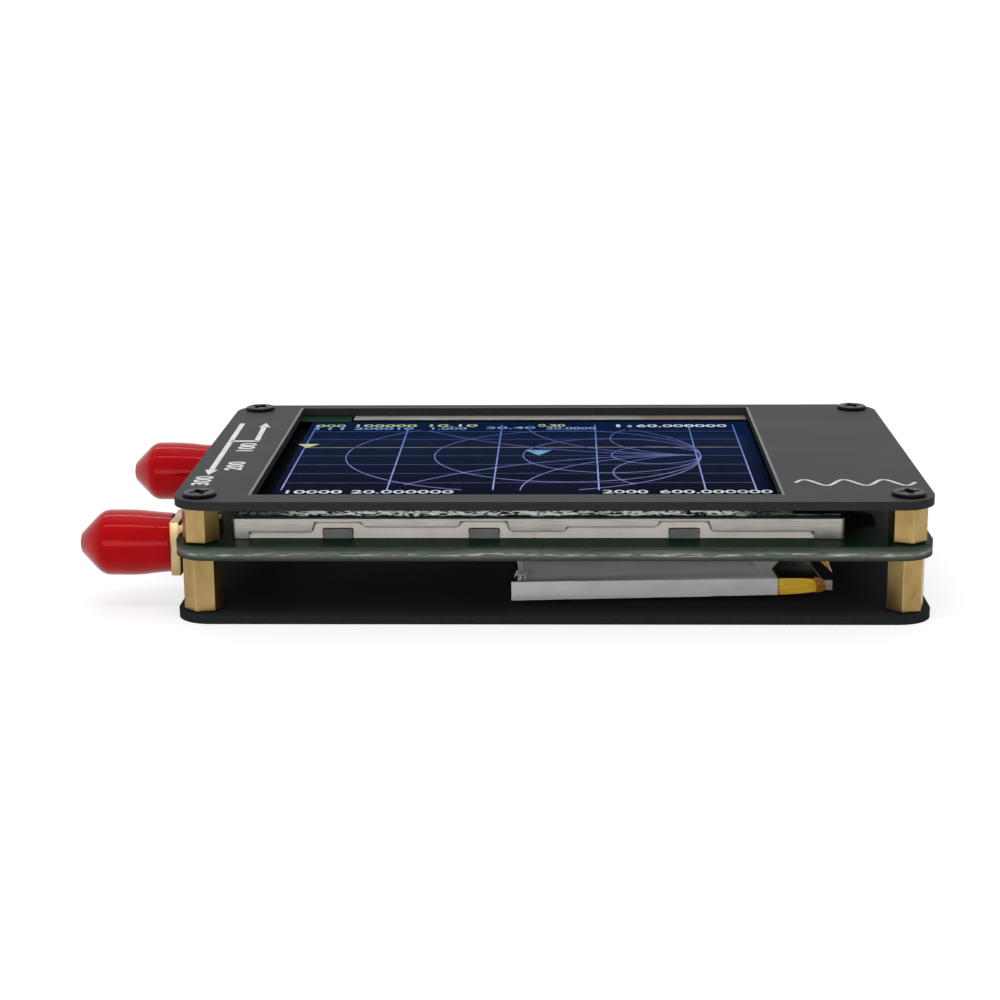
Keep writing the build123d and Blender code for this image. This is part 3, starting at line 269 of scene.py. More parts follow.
class Finish:
    """A node material whose patterns are read from the place on the object, in millimetres."""

    def __init__(self, name, colour, roughness, metallic=0.0, **sockets):
        self.material = bpy.data.materials.new(name)
        self.material.use_nodes = True
        self.tree = self.material.node_tree
        self.shader = self.tree.nodes["Principled BSDF"]
        self.place = self.node("ShaderNodeTexCoord").outputs["Object"]
        self.shader.inputs["Base Color"].default_value = tint(*colour)
        self.shader.inputs["Roughness"].default_value = roughness
        self.shader.inputs["Metallic"].default_value = metallic
        for socket, value in sockets.items():
            self.shader.inputs[socket.replace("_", " ")].default_value = value

    def node(self, kind, inputs=None, **settings):
        """Adds a node. Its inputs are given as values or as sockets to link."""
        node = self.tree.nodes.new(kind)
        for key, value in settings.items():
            setattr(node, key, value)
        for socket, value in (inputs or {}).items():
            self.feed(node.inputs[socket], value)
        return node

    def feed(self, socket, value):
        if isinstance(value, bpy.types.NodeSocket):
            self.tree.links.new(value, socket)
        else:
            socket.default_value = value

    def spread(self, cell, turn=0.0):
        """Places on the object, scaled so that one unit is a cell of the given size along X, Y and Z."""
        size = cell if isinstance(cell, (tuple, list)) else (cell, cell, cell)
        mapping = self.node("ShaderNodeMapping", {"Vector": self.place})
        mapping.inputs["Scale"].default_value = [1 / (length * MM) for length in size]
        mapping.inputs["Rotation"].default_value = (0, 0, turn)
        return mapping.outputs["Vector"]

    def mottle(self, cell, detail=3.0, turn=0.0, distortion=0.0):
        """Soft noise, about 0 to 1, with cells of the given size."""
        inputs = {"Vector": self.spread(cell, turn), "Scale": 1.0, "Detail": detail, "Distortion": distortion}
        return self.node("ShaderNodeTexNoise", inputs).outputs["Fac"]

    def specks(self, cell, randomness=1.0):
        """Distance from scattered points, with cells of the given size."""
        inputs = {"Vector": self.spread(cell), "Scale": 1.0, "Randomness": randomness}
        return self.node("ShaderNodeTexVoronoi", inputs).outputs["Distance"]

    def window(self, value, start, end, low=0.0, high=1.0):
        """Maps a value from start..end to low..high and clamps it."""
        inputs = {"Value": value, "From Min": start, "From Max": end, "To Min": low, "To Max": high}
        return self.node("ShaderNodeMapRange", inputs).outputs["Result"]

    def sum(self, first, second, operation="ADD"):
        node = self.node("ShaderNodeMath", operation=operation)
        self.feed(node.inputs[0], first)
        self.feed(node.inputs[1], second)
        return node.outputs[0]

    def between(self, factor, first, second):
        """A colour between two colours, each a screen colour or a socket."""
        node = self.node("ShaderNodeMix", data_type="RGBA")
        self.feed(node.inputs[0], factor)
        for socket, colour in zip(node.inputs[6:8], (first, second)):
            self.feed(socket, colour if isinstance(colour, bpy.types.NodeSocket) else tint(*colour))
        return node.outputs[2]

    def coordinate(self, axis):
        """One coordinate on the object, in millimetres."""
        split = self.node("ShaderNodeSeparateXYZ", {"Vector": self.place})
        return self.sum(split.outputs[axis], 1 / MM, "MULTIPLY")

    def facing(self, axis):
        """How far a surface looks along an axis, from -1 to 1."""
        normal = self.node("ShaderNodeNewGeometry").outputs["Normal"]
        return self.node("ShaderNodeSeparateXYZ", {"Vector": normal}).outputs[axis]

    def upright(self):
        """1 on the cut sides of a sheet and 0 on its faces."""
        return self.window(self.sum(self.facing("Z"), 0.0, "ABSOLUTE"), 0.3, 0.7, 1.0, 0.0)

    def edges(self, radius):
        """1 on the flats of a piece and less within a radius of its edges."""
        rounded_or_painted_sheen = self.node("ShaderNodeBevel", {"Radius": radius * MM}, samples=4).outputs["Normal"]
        flat = self.node("ShaderNodeNewGeometry").outputs["Normal"]
        node = self.node("ShaderNodeVectorMath", operation="DOT_PRODUCT")
        self.feed(node.inputs[0], rounded_or_painted_sheen)
        self.feed(node.inputs[1], flat)
        return node.outputs["Value"]

    def clear_of(self, distance):
        """1 where nothing stands close to a surface and less in its corners and beside steps."""
        inputs = {"Distance": distance * MM}
        return self.node("ShaderNodeAmbientOcclusion", inputs, samples=8).outputs["AO"]

    def relief(self, height, depth, strength=1.0, soft_edge=0.0):
        """Bump of the given depth, over edges that are softened by a radius."""
        bump = self.node("ShaderNodeBump", {"Height": height, "Distance": depth * MM, "Strength": strength})
        if soft_edge:
            rounded = self.node("ShaderNodeBevel", {"Radius": soft_edge * MM}, samples=4)
            self.feed(bump.inputs["Normal"], rounded.outputs["Normal"])
        self.feed(self.shader.inputs["Normal"], bump.outputs["Normal"])

    def colour(self, socket):
        self.feed(self.shader.inputs["Base Color"], socket)

    def roughness(self, socket):
        self.feed(self.shader.inputs["Roughness"], socket)


def panel_black(name, dark, light, gloss):
    """Matt black solder mask with a fine grain and grey dust, and the laminate at the cut edges; its colours
    come from the caller, and the top panel's grey among them is a painted sheen.
    """
    finish = Finish(name, light, 0.5, Specular_IOR_Level=gloss)
    cloud = finish.mottle((16.0, 9.0, 9.0), 3.0)
    grain = finish.mottle(0.12, 2.0)
    dust = finish.window(finish.specks(2.3), 0.02, 0.04, 1.0, 0.0)
    body = finish.between(finish.window(cloud, 0.3, 0.7), dark, light)
    body = finish.between(finish.window(grain, 0.45, 0.8, 0.0, 0.2), body, [value + 26 for value in light])
    body = finish.between(finish.sum(dust, 0.1, "MULTIPLY"), body, (150, 150, 150))
    cut = finish.upright()
    fibres = finish.mottle((0.8, 0.8, 0.16), 3.0)
    laminate = finish.between(fibres, (24, 27, 26), (50, 52, 49))
    finish.colour(finish.between(finish.sum(cut, 0.8, "MULTIPLY"), body, laminate))
    finish.roughness(finish.window(cloud, 0.3, 0.7, 0.42, 0.55))
    finish.relief(grain, 0.006, 0.5, 0.08)
    return finish.material


def board_green():
    """Green solder mask above and below, with tracks under it, and the cut laminate at the edge."""
    finish = Finish("board_green", (16, 54, 38), 0.4, Specular_IOR_Level=0.02)
    pattern = {"Scale": 1.0, "Mortar Size": 0.06, "Brick Width": 1.9, "Row Height": 0.5}
    pattern["Vector"] = finish.spread(2.2)
    runs = finish.node("ShaderNodeTexBrick", pattern, offset=0.37).outputs["Fac"]
    mask = finish.between(finish.mottle(6.0), (4, 27, 15), (9, 38, 22))
    mask = finish.between(finish.sum(runs, 0.45, "MULTIPLY"), mask, (20, 62, 38))
    wave = finish.mottle((7.0, 7.0, 0.8), 3.0, 0.0, 0.3)
    middle = finish.sum(finish.coordinate("Z"), finish.window(wave, 0.3, 0.7, -0.16, 0.16))
    from_core = finish.sum(finish.sum(middle, 8.12, "SUBTRACT"), 0.0, "ABSOLUTE")
    core = finish.window(from_core, 0.25, 0.62, 1.0, 0.0)
    weave = finish.mottle((1.9, 1.9, 0.16), 4.0, 0.0, 0.5)
    cut = finish.between(core, (57, 70, 57), (102, 106, 96))
    cut = finish.between(finish.window(finish.coordinate("Z"), 7.95, 7.5, 0.0, 0.8), cut, (52, 60, 52))
    seam = finish.window(from_core, 0.03, 0.17, 1.0, 0.0)
    streak = finish.sum(finish.window(weave, 0.47, 0.58), seam, "MULTIPLY")
    cut = finish.between(finish.sum(streak, 0.9, "MULTIPLY"), cut, (186, 192, 180))
    cut = finish.between(finish.window(weave, 0.44, 0.32, 0.0, 0.5), cut, (48, 58, 48))
    side = finish.upright()
    finish.colour(finish.between(side, mask, cut))
    finish.roughness(finish.window(side, 0.0, 1.0, 0.36, 0.7))
    finish.relief(finish.sum(runs, finish.sum(weave, side, "MULTIPLY")), 0.03, 0.5, 0.05)
    return finish.material


def pillar_brass():
    """Drawn brass with soft smudges, a few brown fingerprints, and corners coloured paler as a painted
    highlight.
    """
    finish = Finish("pillar_brass", (162, 134, 84), 0.34, 1.0)
    tone = finish.mottle((2.4, 2.4, 4.5), 2.0)
    marks = finish.mottle((1.4, 1.4, 2.6), 3.0, 0.0, 0.6)
    body = finish.between(finish.window(tone, 0.3, 0.7), (146, 121, 74), (172, 146, 96))
    body = finish.between(finish.window(marks, 0.62, 0.76, 0.0, 0.55), body, (96, 70, 34))
    # Painted highlight: paler brass near the edges.
    corners = finish.window(finish.edges(0.12), 0.85, 0.99, 0.7, 0.0)
    finish.colour(finish.between(corners, body, (226, 206, 160)))
    finish.roughness(finish.window(tone, 0.3, 0.7, 0.3, 0.4))
    finish.relief(tone, 0.01, 0.3, 0.1)
    return finish.material


def screw_black():
    """Blackened steel: satin flats coloured grey as a painted reflection, and dull black walls and recesses.
    """
    finish = Finish("screw_black", (26, 26, 28), 0.42, 0.0, Specular_IOR_Level=0.05)
    # Painted reflection: faces looking up or down are coloured grey.
    flat = finish.window(finish.sum(finish.facing("Z"), 0.0, "ABSOLUTE"), 0.8, 0.97)
    rounded_or_painted_sheen = finish.between(finish.window(finish.mottle(0.8), 0.35, 0.7), (66, 66, 68), (86, 86, 88))
    finish.colour(finish.between(flat, (9, 9, 10), rounded_or_painted_sheen))
    finish.relief(finish.mottle(0.15), 0.01, 0.4)
    return finish.material


def folded_steel(name, dark, light, roughness=0.34):
    """Bare rolled steel with rolling lines and a few smudges."""
    finish = Finish(name, light, roughness, 1.0)
    rolled = finish.mottle((2.5, 0.06, 0.06), 2.0)
    smudge = finish.mottle(3.5, 4.0)
    body = finish.between(finish.window(smudge, 0.3, 0.7), dark, light)
    body = finish.between(finish.window(rolled, 0.3, 0.8, 0.0, 0.35), body, (225, 222, 216))
    finish.colour(body)
    finish.roughness(finish.window(smudge, 0.3, 0.7, roughness - 0.06, roughness + 0.12))
    finish.relief(rolled, 0.006, 0.4, 0.06)
    return finish.material


def moulded(name, dark, light, roughness=0.45, cell=0.25, depth=0.008, seam=None, **sockets):
    """Moulded plastic or ceramic: a fine skin, slow changes of tone, and painted shade beside steps, as far
    out as seam gives.
    """
    finish = Finish(name, light, roughness, 0.0, **sockets)
    tone = finish.mottle(cell * 12, 3.0)
    skin = finish.mottle(cell, 2.0)
    body = finish.between(finish.window(tone, 0.3, 0.7), dark, light)
    # Painted shade: dark brown where a nearby step occludes the surface, above the cover's lowest edge.
    if seam:
        unshaded_share = finish.window(finish.clear_of(seam), 0.62, 0.86)
        low_down = finish.window(finish.coordinate("Z"), SEAM_LOWEST + 0.25, SEAM_LOWEST)
        body = finish.between(finish.sum(unshaded_share, low_down, "MAXIMUM"), (58, 46, 42), body)
    finish.colour(body)
    finish.roughness(finish.window(skin, 0.3, 0.7, roughness - 0.06, roughness + 0.08))
    finish.relief(skin, depth, 0.6, 0.04)
    return finish.material


def plated(name, dark, light, roughness=0.25, cell=0.3, depth=0.012):
    """Plated or tinned metal, slightly uneven."""
    finish = Finish(name, light, roughness, 1.0)
    tone = finish.mottle(cell * 4, 3.0)
    finish.colour(finish.between(finish.window(tone, 0.3, 0.7), dark, light))
    finish.roughness(finish.window(tone, 0.3, 0.7, roughness - 0.05, roughness + 0.12))
    finish.relief(finish.mottle(cell, 2.0), depth, 0.5, 0.05)
    return finish.material


def broken_glass():
    """Screen glass: black seen from its edge, with a wavering row of chips along the scribed cut, coloured
    near white as painted glints.
    """
    finish = Finish("cell_glass", (16, 24, 23), 0.25, 0.0, Specular_IOR_Level=0.03)
    wander = finish.mottle((2.4, 2.4, 2.4), 3.0)
    level = finish.sum(finish.coordinate("Z"), finish.window(wander, 0.3, 0.7, -0.12, 0.12))
    from_row = finish.sum(finish.sum(level, 11.93, "SUBTRACT"), 0.0, "ABSOLUTE")
    chips = finish.mottle((1.1, 1.1, 0.24), 4.0, 0.0, 1.2)
    along = finish.coordinate("X")
    broken = finish.sum(finish.window(along, -31.0, -28.5), finish.window(along, 22.5, 20.0), "MULTIPLY")
    broken = finish.window(broken, 0.0, 1.0, 0.12, 1.0)
    row = finish.window(from_row, 0.2, 0.34, 1.0, 0.0)
    # Painted glints: chips on the row are coloured near white.
    bright = finish.sum(row, finish.window(chips, 0.44, 0.53), "MULTIPLY")
    bright = finish.sum(bright, broken, "MULTIPLY")
    side = finish.upright()
    body = finish.between(finish.window(chips, 0.35, 0.65), (7, 12, 11), (28, 38, 36))
    finish.colour(finish.between(finish.sum(bright, side, "MULTIPLY"), body, (226, 232, 228)))
    finish.relief(chips, 0.05, 0.7)
    return finish.material


def clear_glass():
    """Clear touch panel with dark cut edges."""
    finish = Finish("touch_glass", (20, 28, 27), 0.2, Specular_IOR_Level=0.05)
    clear = finish.node("ShaderNodeBsdfTransparent", {"Color": tint(250, 253, 253)})
    side = finish.upright()
    whole = finish.node("ShaderNodeMixShader", {0: side, 1: clear.outputs[0], 2: finish.shader.outputs[0]})
    finish.tree.links.new(whole.outputs[0], finish.tree.nodes["Material Output"].inputs["Surface"])
    finish.colour(finish.between(finish.mottle((1.5, 1.5, 0.2)), (14, 20, 19), (44, 54, 52)))
    return finish.material


def cap_red():
    """Soft glossy vinyl with dull rubbed patches and faint pinch marks."""
    gloss = {"Specular_IOR_Level": 0.26, "Specular_Tint": (1, 0.26, 0.3, 1)}
    finish = Finish("cap_red", (178, 0, 4), 0.09, **gloss)
    tone = finish.mottle((3.0, 3.0, 3.0), 3.0)
    rub = finish.mottle((1.2, 0.6, 0.6), 4.0)
    body = finish.between(finish.window(tone, 0.3, 0.7), (164, 0, 3), (182, 0, 5))
    finish.colour(finish.between(finish.window(rub, 0.6, 0.75, 0.0, 0.2), body, (188, 6, 14)))
    finish.roughness(finish.window(rub, 0.3, 0.7, 0.07, 0.15))
    finish.relief(finish.mottle((4.0, 2.0, 2.0), 2.0), 0.05, 0.2)
    return finish.material


def pouch_silver():
    """Aluminium laminate of the battery with shallow creases, duller along the top's front, where the top is
    coloured darker as painted shade, and near white towards the back as painted light.
    """
    gloss = {"Specular_IOR_Level": 0.3, "Sheen_Weight": 1.0, "Sheen_Roughness": 0.4}
    finish = Finish("pouch_silver", (196, 197, 198), 0.45, 0.1, **gloss)
    crease = finish.mottle((3.0, 1.4, 0.5), 5.0, 0.0, 1.4)
    dents = finish.mottle((6.0, 5.0, 3.0), 3.0)
    body = finish.between(finish.window(dents, 0.3, 0.7), (200, 198, 197), (222, 219, 218))
    # Painted shade and light: top faces run from grey at the front to near white at the back.
    painted_light_to_back = finish.window(finish.coordinate("Y"), -21.8, -14.0)
    over = finish.between(painted_light_to_back, (130, 133, 129), (255, 255, 252))
    finish.colour(finish.between(finish.window(finish.facing("Z"), 0.5, 0.8), body, over))
    finish.roughness(finish.window(crease, 0.3, 0.7, 0.36, 0.52))
    finish.relief(finish.sum(crease, dents), 0.08, 0.35)
    return finish.material


def amber_film(name, dark, light, over=None, gloss=0.3):
    """Polyimide film: glossy, with streaks and trapped air, its top faces darker over a dark piece and as
    painted shade.
    """
    finish = Finish(name, light, 0.22, 0.0, Specular_IOR_Level=gloss)
    streak = finish.mottle((4.0, 1.0, 0.35), 4.0, 0.0, 0.8)
    body = finish.between(finish.window(streak, 0.32, 0.68), dark, light)
    # Top faces take the over colour: the dark piece under the film, and painted shade.
    finish.colour(finish.between(finish.window(finish.facing("Z"), 0.4, 0.7), body, over) if over else body)
    finish.relief(finish.mottle((1.6, 0.8, 0.5), 4.0), 0.08, 0.45)
    return finish.material


def wound_ferrite():
    """Grey pressed ferrite with a dished, speckled top."""
    finish = Finish("inductor_grey", (74, 74, 76), 0.6)
    finish.colour(finish.between(finish.window(finish.specks(0.25), 0.1, 0.5), (58, 58, 60), (92, 92, 94)))
    finish.relief(finish.mottle(0.2), 0.02, 0.7, 0.1)
    return finish.material


def light(name, near, far=None, cell=1.2):
    """A lit part of the picture, a little uneven from point to point and dimmer towards the back."""
    finish = Finish(name, (0, 0, 0), 0.9, 0.0, Specular_IOR_Level=0.0)
    tone = finish.between(finish.window(finish.coordinate("Y"), -12.0, 22.0), near, far or near)
    flicker = finish.window(finish.mottle(cell, 2.0), 0.3, 0.7, 0.4, 0.0)
    finish.feed(finish.shader.inputs["Emission Color"], finish.between(flicker, tone, (0, 0, 0)))
    finish.shader.inputs["Emission Strength"].default_value = 1.0
    return finish.material


def picture_dark():
    """The picture's dark blue ground with faint clouds, paler towards the back: the screen's change with
    viewing angle, and a painted reflection of the surroundings in the glass.
    """
    finish = Finish("picture_dark", (0, 0, 0), 0.15, 0.0, Specular_IOR_Level=0.0003)
    # Partly painted reflection: the ground glows brighter towards the back.
    depth = finish.window(finish.coordinate("Y"), -16.0, 22.0)
    cloud = finish.mottle((14.0, 8.0, 8.0), 3.0)
    ground = finish.between(depth, (8, 10, 24), (16, 32, 64))
    ground = finish.between(finish.window(cloud, 0.35, 0.7, 0.0, 0.5), ground, (13, 18, 46))
    finish.feed(finish.shader.inputs["Emission Color"], ground)
    finish.shader.inputs["Emission Strength"].default_value = 1.0
    return finish.material


# ---- Dressing of the carried-over pieces ----

MOULDED = {
    "guide_clear": ((198, 204, 204), (224, 228, 228), 0.15),
    "film_white": ((214, 214, 212), (232, 232, 230), 0.3),
    "tape_black": ((22, 23, 24), (34, 35, 36), 0.6),
    "chip_black": ((28, 28, 30), (44, 44, 46), 0.55, 0.1, 0.01),
    "insulator_white": ((222, 222, 216), (240, 240, 236), 0.4),
    "pad_white": ((206, 206, 202), (228, 228, 224), 0.9, 0.3, 0.04),
    "lead_red": ((168, 22, 20), (196, 34, 30), 0.35),
    "lead_black": ((20, 20, 22), (34, 34, 36), 0.35),
    "capacitor_tan": ((138, 110, 78), (166, 136, 100), 0.4, 0.12, 0.01),
    "resistor_black": ((22, 22, 24), (38, 38, 40), 0.4, 0.12, 0.01),
    "lamp_white": ((216, 218, 204), (238, 238, 226), 0.3),
    "plastic_black": ((20, 20, 22), (34, 34, 36), 0.5),
    "plastic_white": ((214, 212, 204), (234, 232, 226), 0.45),
}
FOLDED = {
    "cover_steel": ((138, 134, 128), (158, 154, 148)),
    "shield_tin": ((176, 178, 176), (202, 203, 200), 0.28),
    "crystal_can": ((184, 184, 180), (212, 212, 208), 0.25),
    "socket_steel": ((170, 170, 168), (202, 202, 200), 0.26),
    "switch_tin": ((166, 168, 168), (198, 200, 200), 0.3),
}
PLATED = {
    "jack_gold": ((162, 139, 97), (186, 163, 122), 0.26, 0.6, 0.003),
    "contact_gold": ((206, 164, 84), (232, 196, 118), 0.2),
    "solder": ((168, 170, 172), (206, 208, 210), 0.2, 0.5),
}
PALE_CREAM = ((232, 224, 213), (245, 238, 228))
NEAR_BLACK = ((5, 6, 9), (9, 10, 14))
# Painted shade: the amber flex ribbons are coloured near black.
PAINTED_SHADE_AMBER = ((30, 19, 9), (46, 30, 14))

FINISHES = {
    # The top panel's grey is a painted sheen on its black mask.
    "plate_black": panel_black("plate_black", (63, 63, 66), (71, 71, 74), 0.02),
    "board_green": board_green(),
    "pillar_brass": pillar_brass(),
    "screw_black": screw_black(),
    # latch_grey and tray_cream take painted shade beside the cover's steps and the latch pockets.
    "latch_grey": moulded("latch_grey", (96, 100, 95), (118, 122, 115), 0.5, seam=0.2),
    "tray_cream": moulded("tray_cream", *PALE_CREAM, 0.6, seam=0.6, Specular_IOR_Level=0.1),
    "cell_glass": broken_glass(),
    "polarizer_dark": moulded("polarizer_dark", *NEAR_BLACK, 0.4, 0.8, 0.002, Specular_IOR_Level=0.001),
    "touch_glass": clear_glass(),
    "ribbon_amber": moulded("ribbon_amber", *PAINTED_SHADE_AMBER, 0.7, Specular_IOR_Level=0.0),
    "cap_red": cap_red(),
    "pouch_silver": pouch_silver(),
    # The sleeve's top is dark: the guard board under the film, and painted shade under the main board.
    "tape_amber": amber_film("tape_amber", (226, 176, 40), (250, 210, 70), (44, 36, 14)),
    "inductor_grey": wound_ferrite(),
}
for make, looks in ((moulded, MOULDED), (folded_steel, FOLDED), (plated, PLATED)):
    for name, look in looks.items():
        FINISHES[name] = make(name, *look)

# Painted shade: the bottom plate is the same black mask as the top panel, coloured darker.
SHADED_PANEL_COPY = panel_black("panel_black_painted_shade", (32, 33, 35), (42, 43, 45), 0.004)
PAINTED_SHADE_FINISHES = {"bottom_plate": SHADED_PANEL_COPY}


def dress_nodes():
    """Gives each carried-over piece the finish that its slot names, and the bottom plate a darker copy of the
    panel finish as painted shade.
    """
    slots = {part["node"]: part["material_slot"] for part in frame["record"]["subparts"]}
    for name, node in frame["nodes"].items():
        slot = slots[name]
        for holder in node.material_slots:
            holder.material = PAINTED_SHADE_FINISHES.get(name, FINISHES[slot])


# ---- Screws ----

SCREW_RADIUS = 1.95
SCREW_HEAD = 0.5
SHANK_RADIUS = 0.95
CROSS_REACH = 1.3
CROSS_WIDTH = 0.62
CROSS_DEPTH = 0.55
CROSS_HEART = (0.74, 0.25)
TOP_SCREW_TURNS = (28, 6, 61, 24)
BOTTOM_SCREW_TURNS = (8, 52, 31, 75)


def cut_away(piece, cutter):
    modified(piece, "BOOLEAN", object=cutter, operation="DIFFERENCE", solver="EXACT")
    bpy.data.objects.remove(cutter)


def crossed(head, level, down):
    """Cuts a cross recess into a head. Its arms narrow towards the bottom, round a wide conical heart."""
    half = CROSS_WIDTH / 2
    deep = level + down * CROSS_DEPTH
    low, high = sorted((level - down * 0.3, deep))
    cutter = block("cross_cutter", (-half, -half, low), (half, half, high))
    edit(cutter, "FACE", lambda face: abs(face.normal.z) < 0.5)
    bpy.ops.mesh.extrude_faces_move(TRANSFORM_OT_shrink_fatten={"value": (CROSS_REACH - half) * MM})
    close()
    edit(cutter, "VERT", lambda point: abs(point.co.z - deep * MM) < 0.01 * MM)
    bpy.ops.transform.resize(value=(0.7, 0.7, 1), center_override=(0, 0, deep * MM))
    close()
    cut_away(head, cutter)
    wide, narrow = CROSS_HEART
    heart = [(level - down * 0.3, wide), (level, wide), (deep + down * 0.15, narrow)]
    cut_away(head, turned("heart_cutter", heart, segments=16))
    return head


def screw_set(name, model, turns, replaced):
    """Copies a screw into the four holes, each turned as it was tightened."""
    screws = []
    for (x, y), turn in zip(HOLES, turns):
        screws.append(moved(copied(model, "screw"), (x, y, 0), (0, 0, turn)))
    bpy.data.objects.remove(model)
    piece = smooth(joined(name, screws), 40)
    return placed(piece, "chassis", "screw_black", FINISHES["screw_black"], replaced)


def top_screws():
    """Thin flat-headed screws with rounded rims."""
    base, radius, top = PLATE_TOP, SCREW_RADIUS, PLATE_TOP + SCREW_HEAD
    shank = [(base - 3.8, 0.6), (base - 3.6, SHANK_RADIUS), (base, SHANK_RADIUS)]
    rim = [(base, radius - 0.15), (base + 0.1, radius - 0.03)]
    rim += [(base + 0.2, radius), (base + 0.32, radius - 0.04)]
    crown = [(top - 0.09, radius - 0.12), (top - 0.03, radius - 0.24), (top - 0.01, radius - 0.5), (top, 0.2)]
    model = crossed(turned("flat_screw", shank + rim + crown), top, -1)
    return screw_set("flat_top_screws", model, TOP_SCREW_TURNS, "top_screws")


def bottom_screws():
    """Countersunk screws, flush with the base."""
    cone = SCREW_RADIUS - SHANK_RADIUS
    profile = [(0, 1.9), (0.06, SCREW_RADIUS - 0.02), (cone, SHANK_RADIUS), (3.4, SHANK_RADIUS), (3.6, 0.6)]
    model = crossed(turned("sunk_screw", profile), 0, 1)
    return screw_set("sunk_bottom_screws", model, BOTTOM_SCREW_TURNS, "bottom_screws")


# ---- Dust caps ----

CAP_MOUTHS = {"front": -44.0, "back": -44.95}
CAP_SEEDS = {"front": 1.0, "back": 9.0}
CAP_BORE = 3.225
CAP_BORE_DEPTH = 7.6
CAP_LENGTH = 10.95
CAP_SWELL = 3.845
NOSE_RADIUS = 3.0
NOSE_END = 25.7
SHOULDER_RADIUS = 1.9
SHOULDER_BACK = 3.6
CAP_BODY = ((5.4, 3.84), (6.6, 3.81), (7.6, 3.74), (8.5, 3.63), (9.2, 3.55), (9.9, 3.49), (10.5, 3.45))
CAP_LIP = ((10.8, 3.43), (10.95, 3.37), (10.95, 3.3))


def cap_outline():
    """Outside of a cap from the tip of its nose to the mouth, then the bore back to its end."""
    nose = [(NOSE_RADIUS - along, radius) for along, radius in arc((0, 0), NOSE_RADIUS, 3, NOSE_END, 4)]
    middle = (SHOULDER_BACK, CAP_SWELL - SHOULDER_RADIUS)
    shoulder = arc(middle, SHOULDER_RADIUS, 138, 90, 7)
    bore = [(CAP_LENGTH - 0.15, CAP_BORE), (CAP_LENGTH - CAP_BORE_DEPTH + 0.3, CAP_BORE)]
    end = [(CAP_LENGTH - CAP_BORE_DEPTH, CAP_BORE - 0.3), (CAP_LENGTH - CAP_BORE_DEPTH, 0.4)]
    return nose + shoulder + list(CAP_BODY) + list(CAP_LIP) + bore + end


def dust_cap(side):
    """Push-on cap over a jack, dented in its own way."""
    centre = (CAP_MOUTHS[side] - CAP_LENGTH, JACK_Y[side], JACK_Z)
    cap = turned(f"soft_cap_{side}", cap_outline(), centre, (1, 0, 0), 96)

    def pinched(point):
        radial = Vector((0, point.y - centre[1], point.z - centre[2]))
        if radial.length < CAP_BORE + 0.05:
            return (0, 0, 0)
        along = point.x - centre[0]
        wave = noise.noise(Vector((along * 0.22 + CAP_SEEDS[side], radial.y * 0.2, radial.z * 0.2)))
        return radial.normalized() * (wave - 0.4) * 0.05

    shaped(cap, pinched)
    smooth(cap, 40)
    return placed(cap, f"{side}_cap", "cap_red", FINISHES["cap_red"], f"dust_cap_{side}")


# ---- Coaxial jacks ----

FLANGE_HALF = 3.175
BARREL_LENGTH = 7.4
THREAD_PITCH = 0.705
THREAD_CREST = 3.165
THREAD_ROOT = 2.78
MOUTH_RADIUS = 2.3
MOUTH_DEPTH = 1.9
INSULATOR_RADIUS = 2.05
LEG = (4.0, 1.0)


def thread(name, start, length):
    """A helical ridge about the X axis, cut off square at both ends."""
    deselect()
    bpy.ops.mesh.primitive_circle_add(vertices=3, radius=1 * MM)
    ridge = made(name)
    half = THREAD_PITCH * 0.47
    root = THREAD_ROOT - 0.06
    corners = ((-half, root), (half, root), (0, THREAD_CREST))
    for vertex, (along, height) in zip(ridge.data.vertices, corners):
        vertex.co = Vector((start + along, 0, height)) * MM
    turns = int(length / THREAD_PITCH)
    modified(
        ridge,
        "SCREW",
        axis="X",
        angle=math.tau,
        screw_offset=THREAD_PITCH * MM,
        iterations=turns,
        steps=40,
        render_steps=40,
    )
    edit(ridge)
    bpy.ops.mesh.fill_holes(sides=0)
    close_outwards()
    return ridge


def coax_jack(side):
    """Edge jack: square flange with legs above and below the board, and a threaded barrel."""
    axis = Vector((JACK_FACE, JACK_Y[side], JACK_Z))
    flange = block(
        "flange",
        (JACK_FACE, axis.y - FLANGE_HALF, axis.z - FLANGE_HALF),
        (LEFT_EDGE, axis.y + FLANGE_HALF, axis.z + FLANGE_HALF),
        0.14,
    )
    parts = [flange]
    for sign in (-1, 1):
        y = axis.y + sign * (FLANGE_HALF - LEG[1] / 2)
        for low in (BOARD_LEVELS[1], BOARD_LEVELS[0] - LEG[1]):
            corner = (LEFT_EDGE - 0.1, y - LEG[1] / 2, low)
            parts.append(block("leg", corner, (LEFT_EDGE + LEG[0], y + LEG[1] / 2, low + LEG[1]), 0.1))
    reach, seat = BARREL_LENGTH, BARREL_LENGTH - MOUTH_DEPTH
    profile = [(-0.1, THREAD_ROOT + 0.25), (0.5, THREAD_ROOT + 0.25), (0.6, THREAD_ROOT)]
    profile += [(reach - 0.35, THREAD_ROOT), (reach - 0.3, THREAD_CREST - 0.2), (reach, THREAD_CREST - 0.35)]
    profile += [(reach, MOUTH_RADIUS + 0.06), (reach - 0.06, MOUTH_RADIUS), (seat, MOUTH_RADIUS)]
    profile += [(seat, INSULATOR_RADIUS), (0.05, INSULATOR_RADIUS), (0.05, 0.4)]
    parts.append(turned("barrel", profile, axis, (-1, 0, 0), 64))
    ridge = thread("thread", -BARREL_LENGTH + 0.85, BARREL_LENGTH - 1.3)
    parts.append(moved(ridge, axis))
    jack = joined(f"threaded_jack_{side}", parts)
    smooth(jack, 30)
    return placed(jack, "chassis", "jack_gold", FINISHES["jack_gold"], f"coax_jack_{side}")


# ---- Battery ----

SEAM_TOP = (2.35, 2.13)
SEAM_BOTTOM = (0.11, 0.2)
SEAM_HEIGHT = 2.2
SLEEVE_LENGTH = 5.1


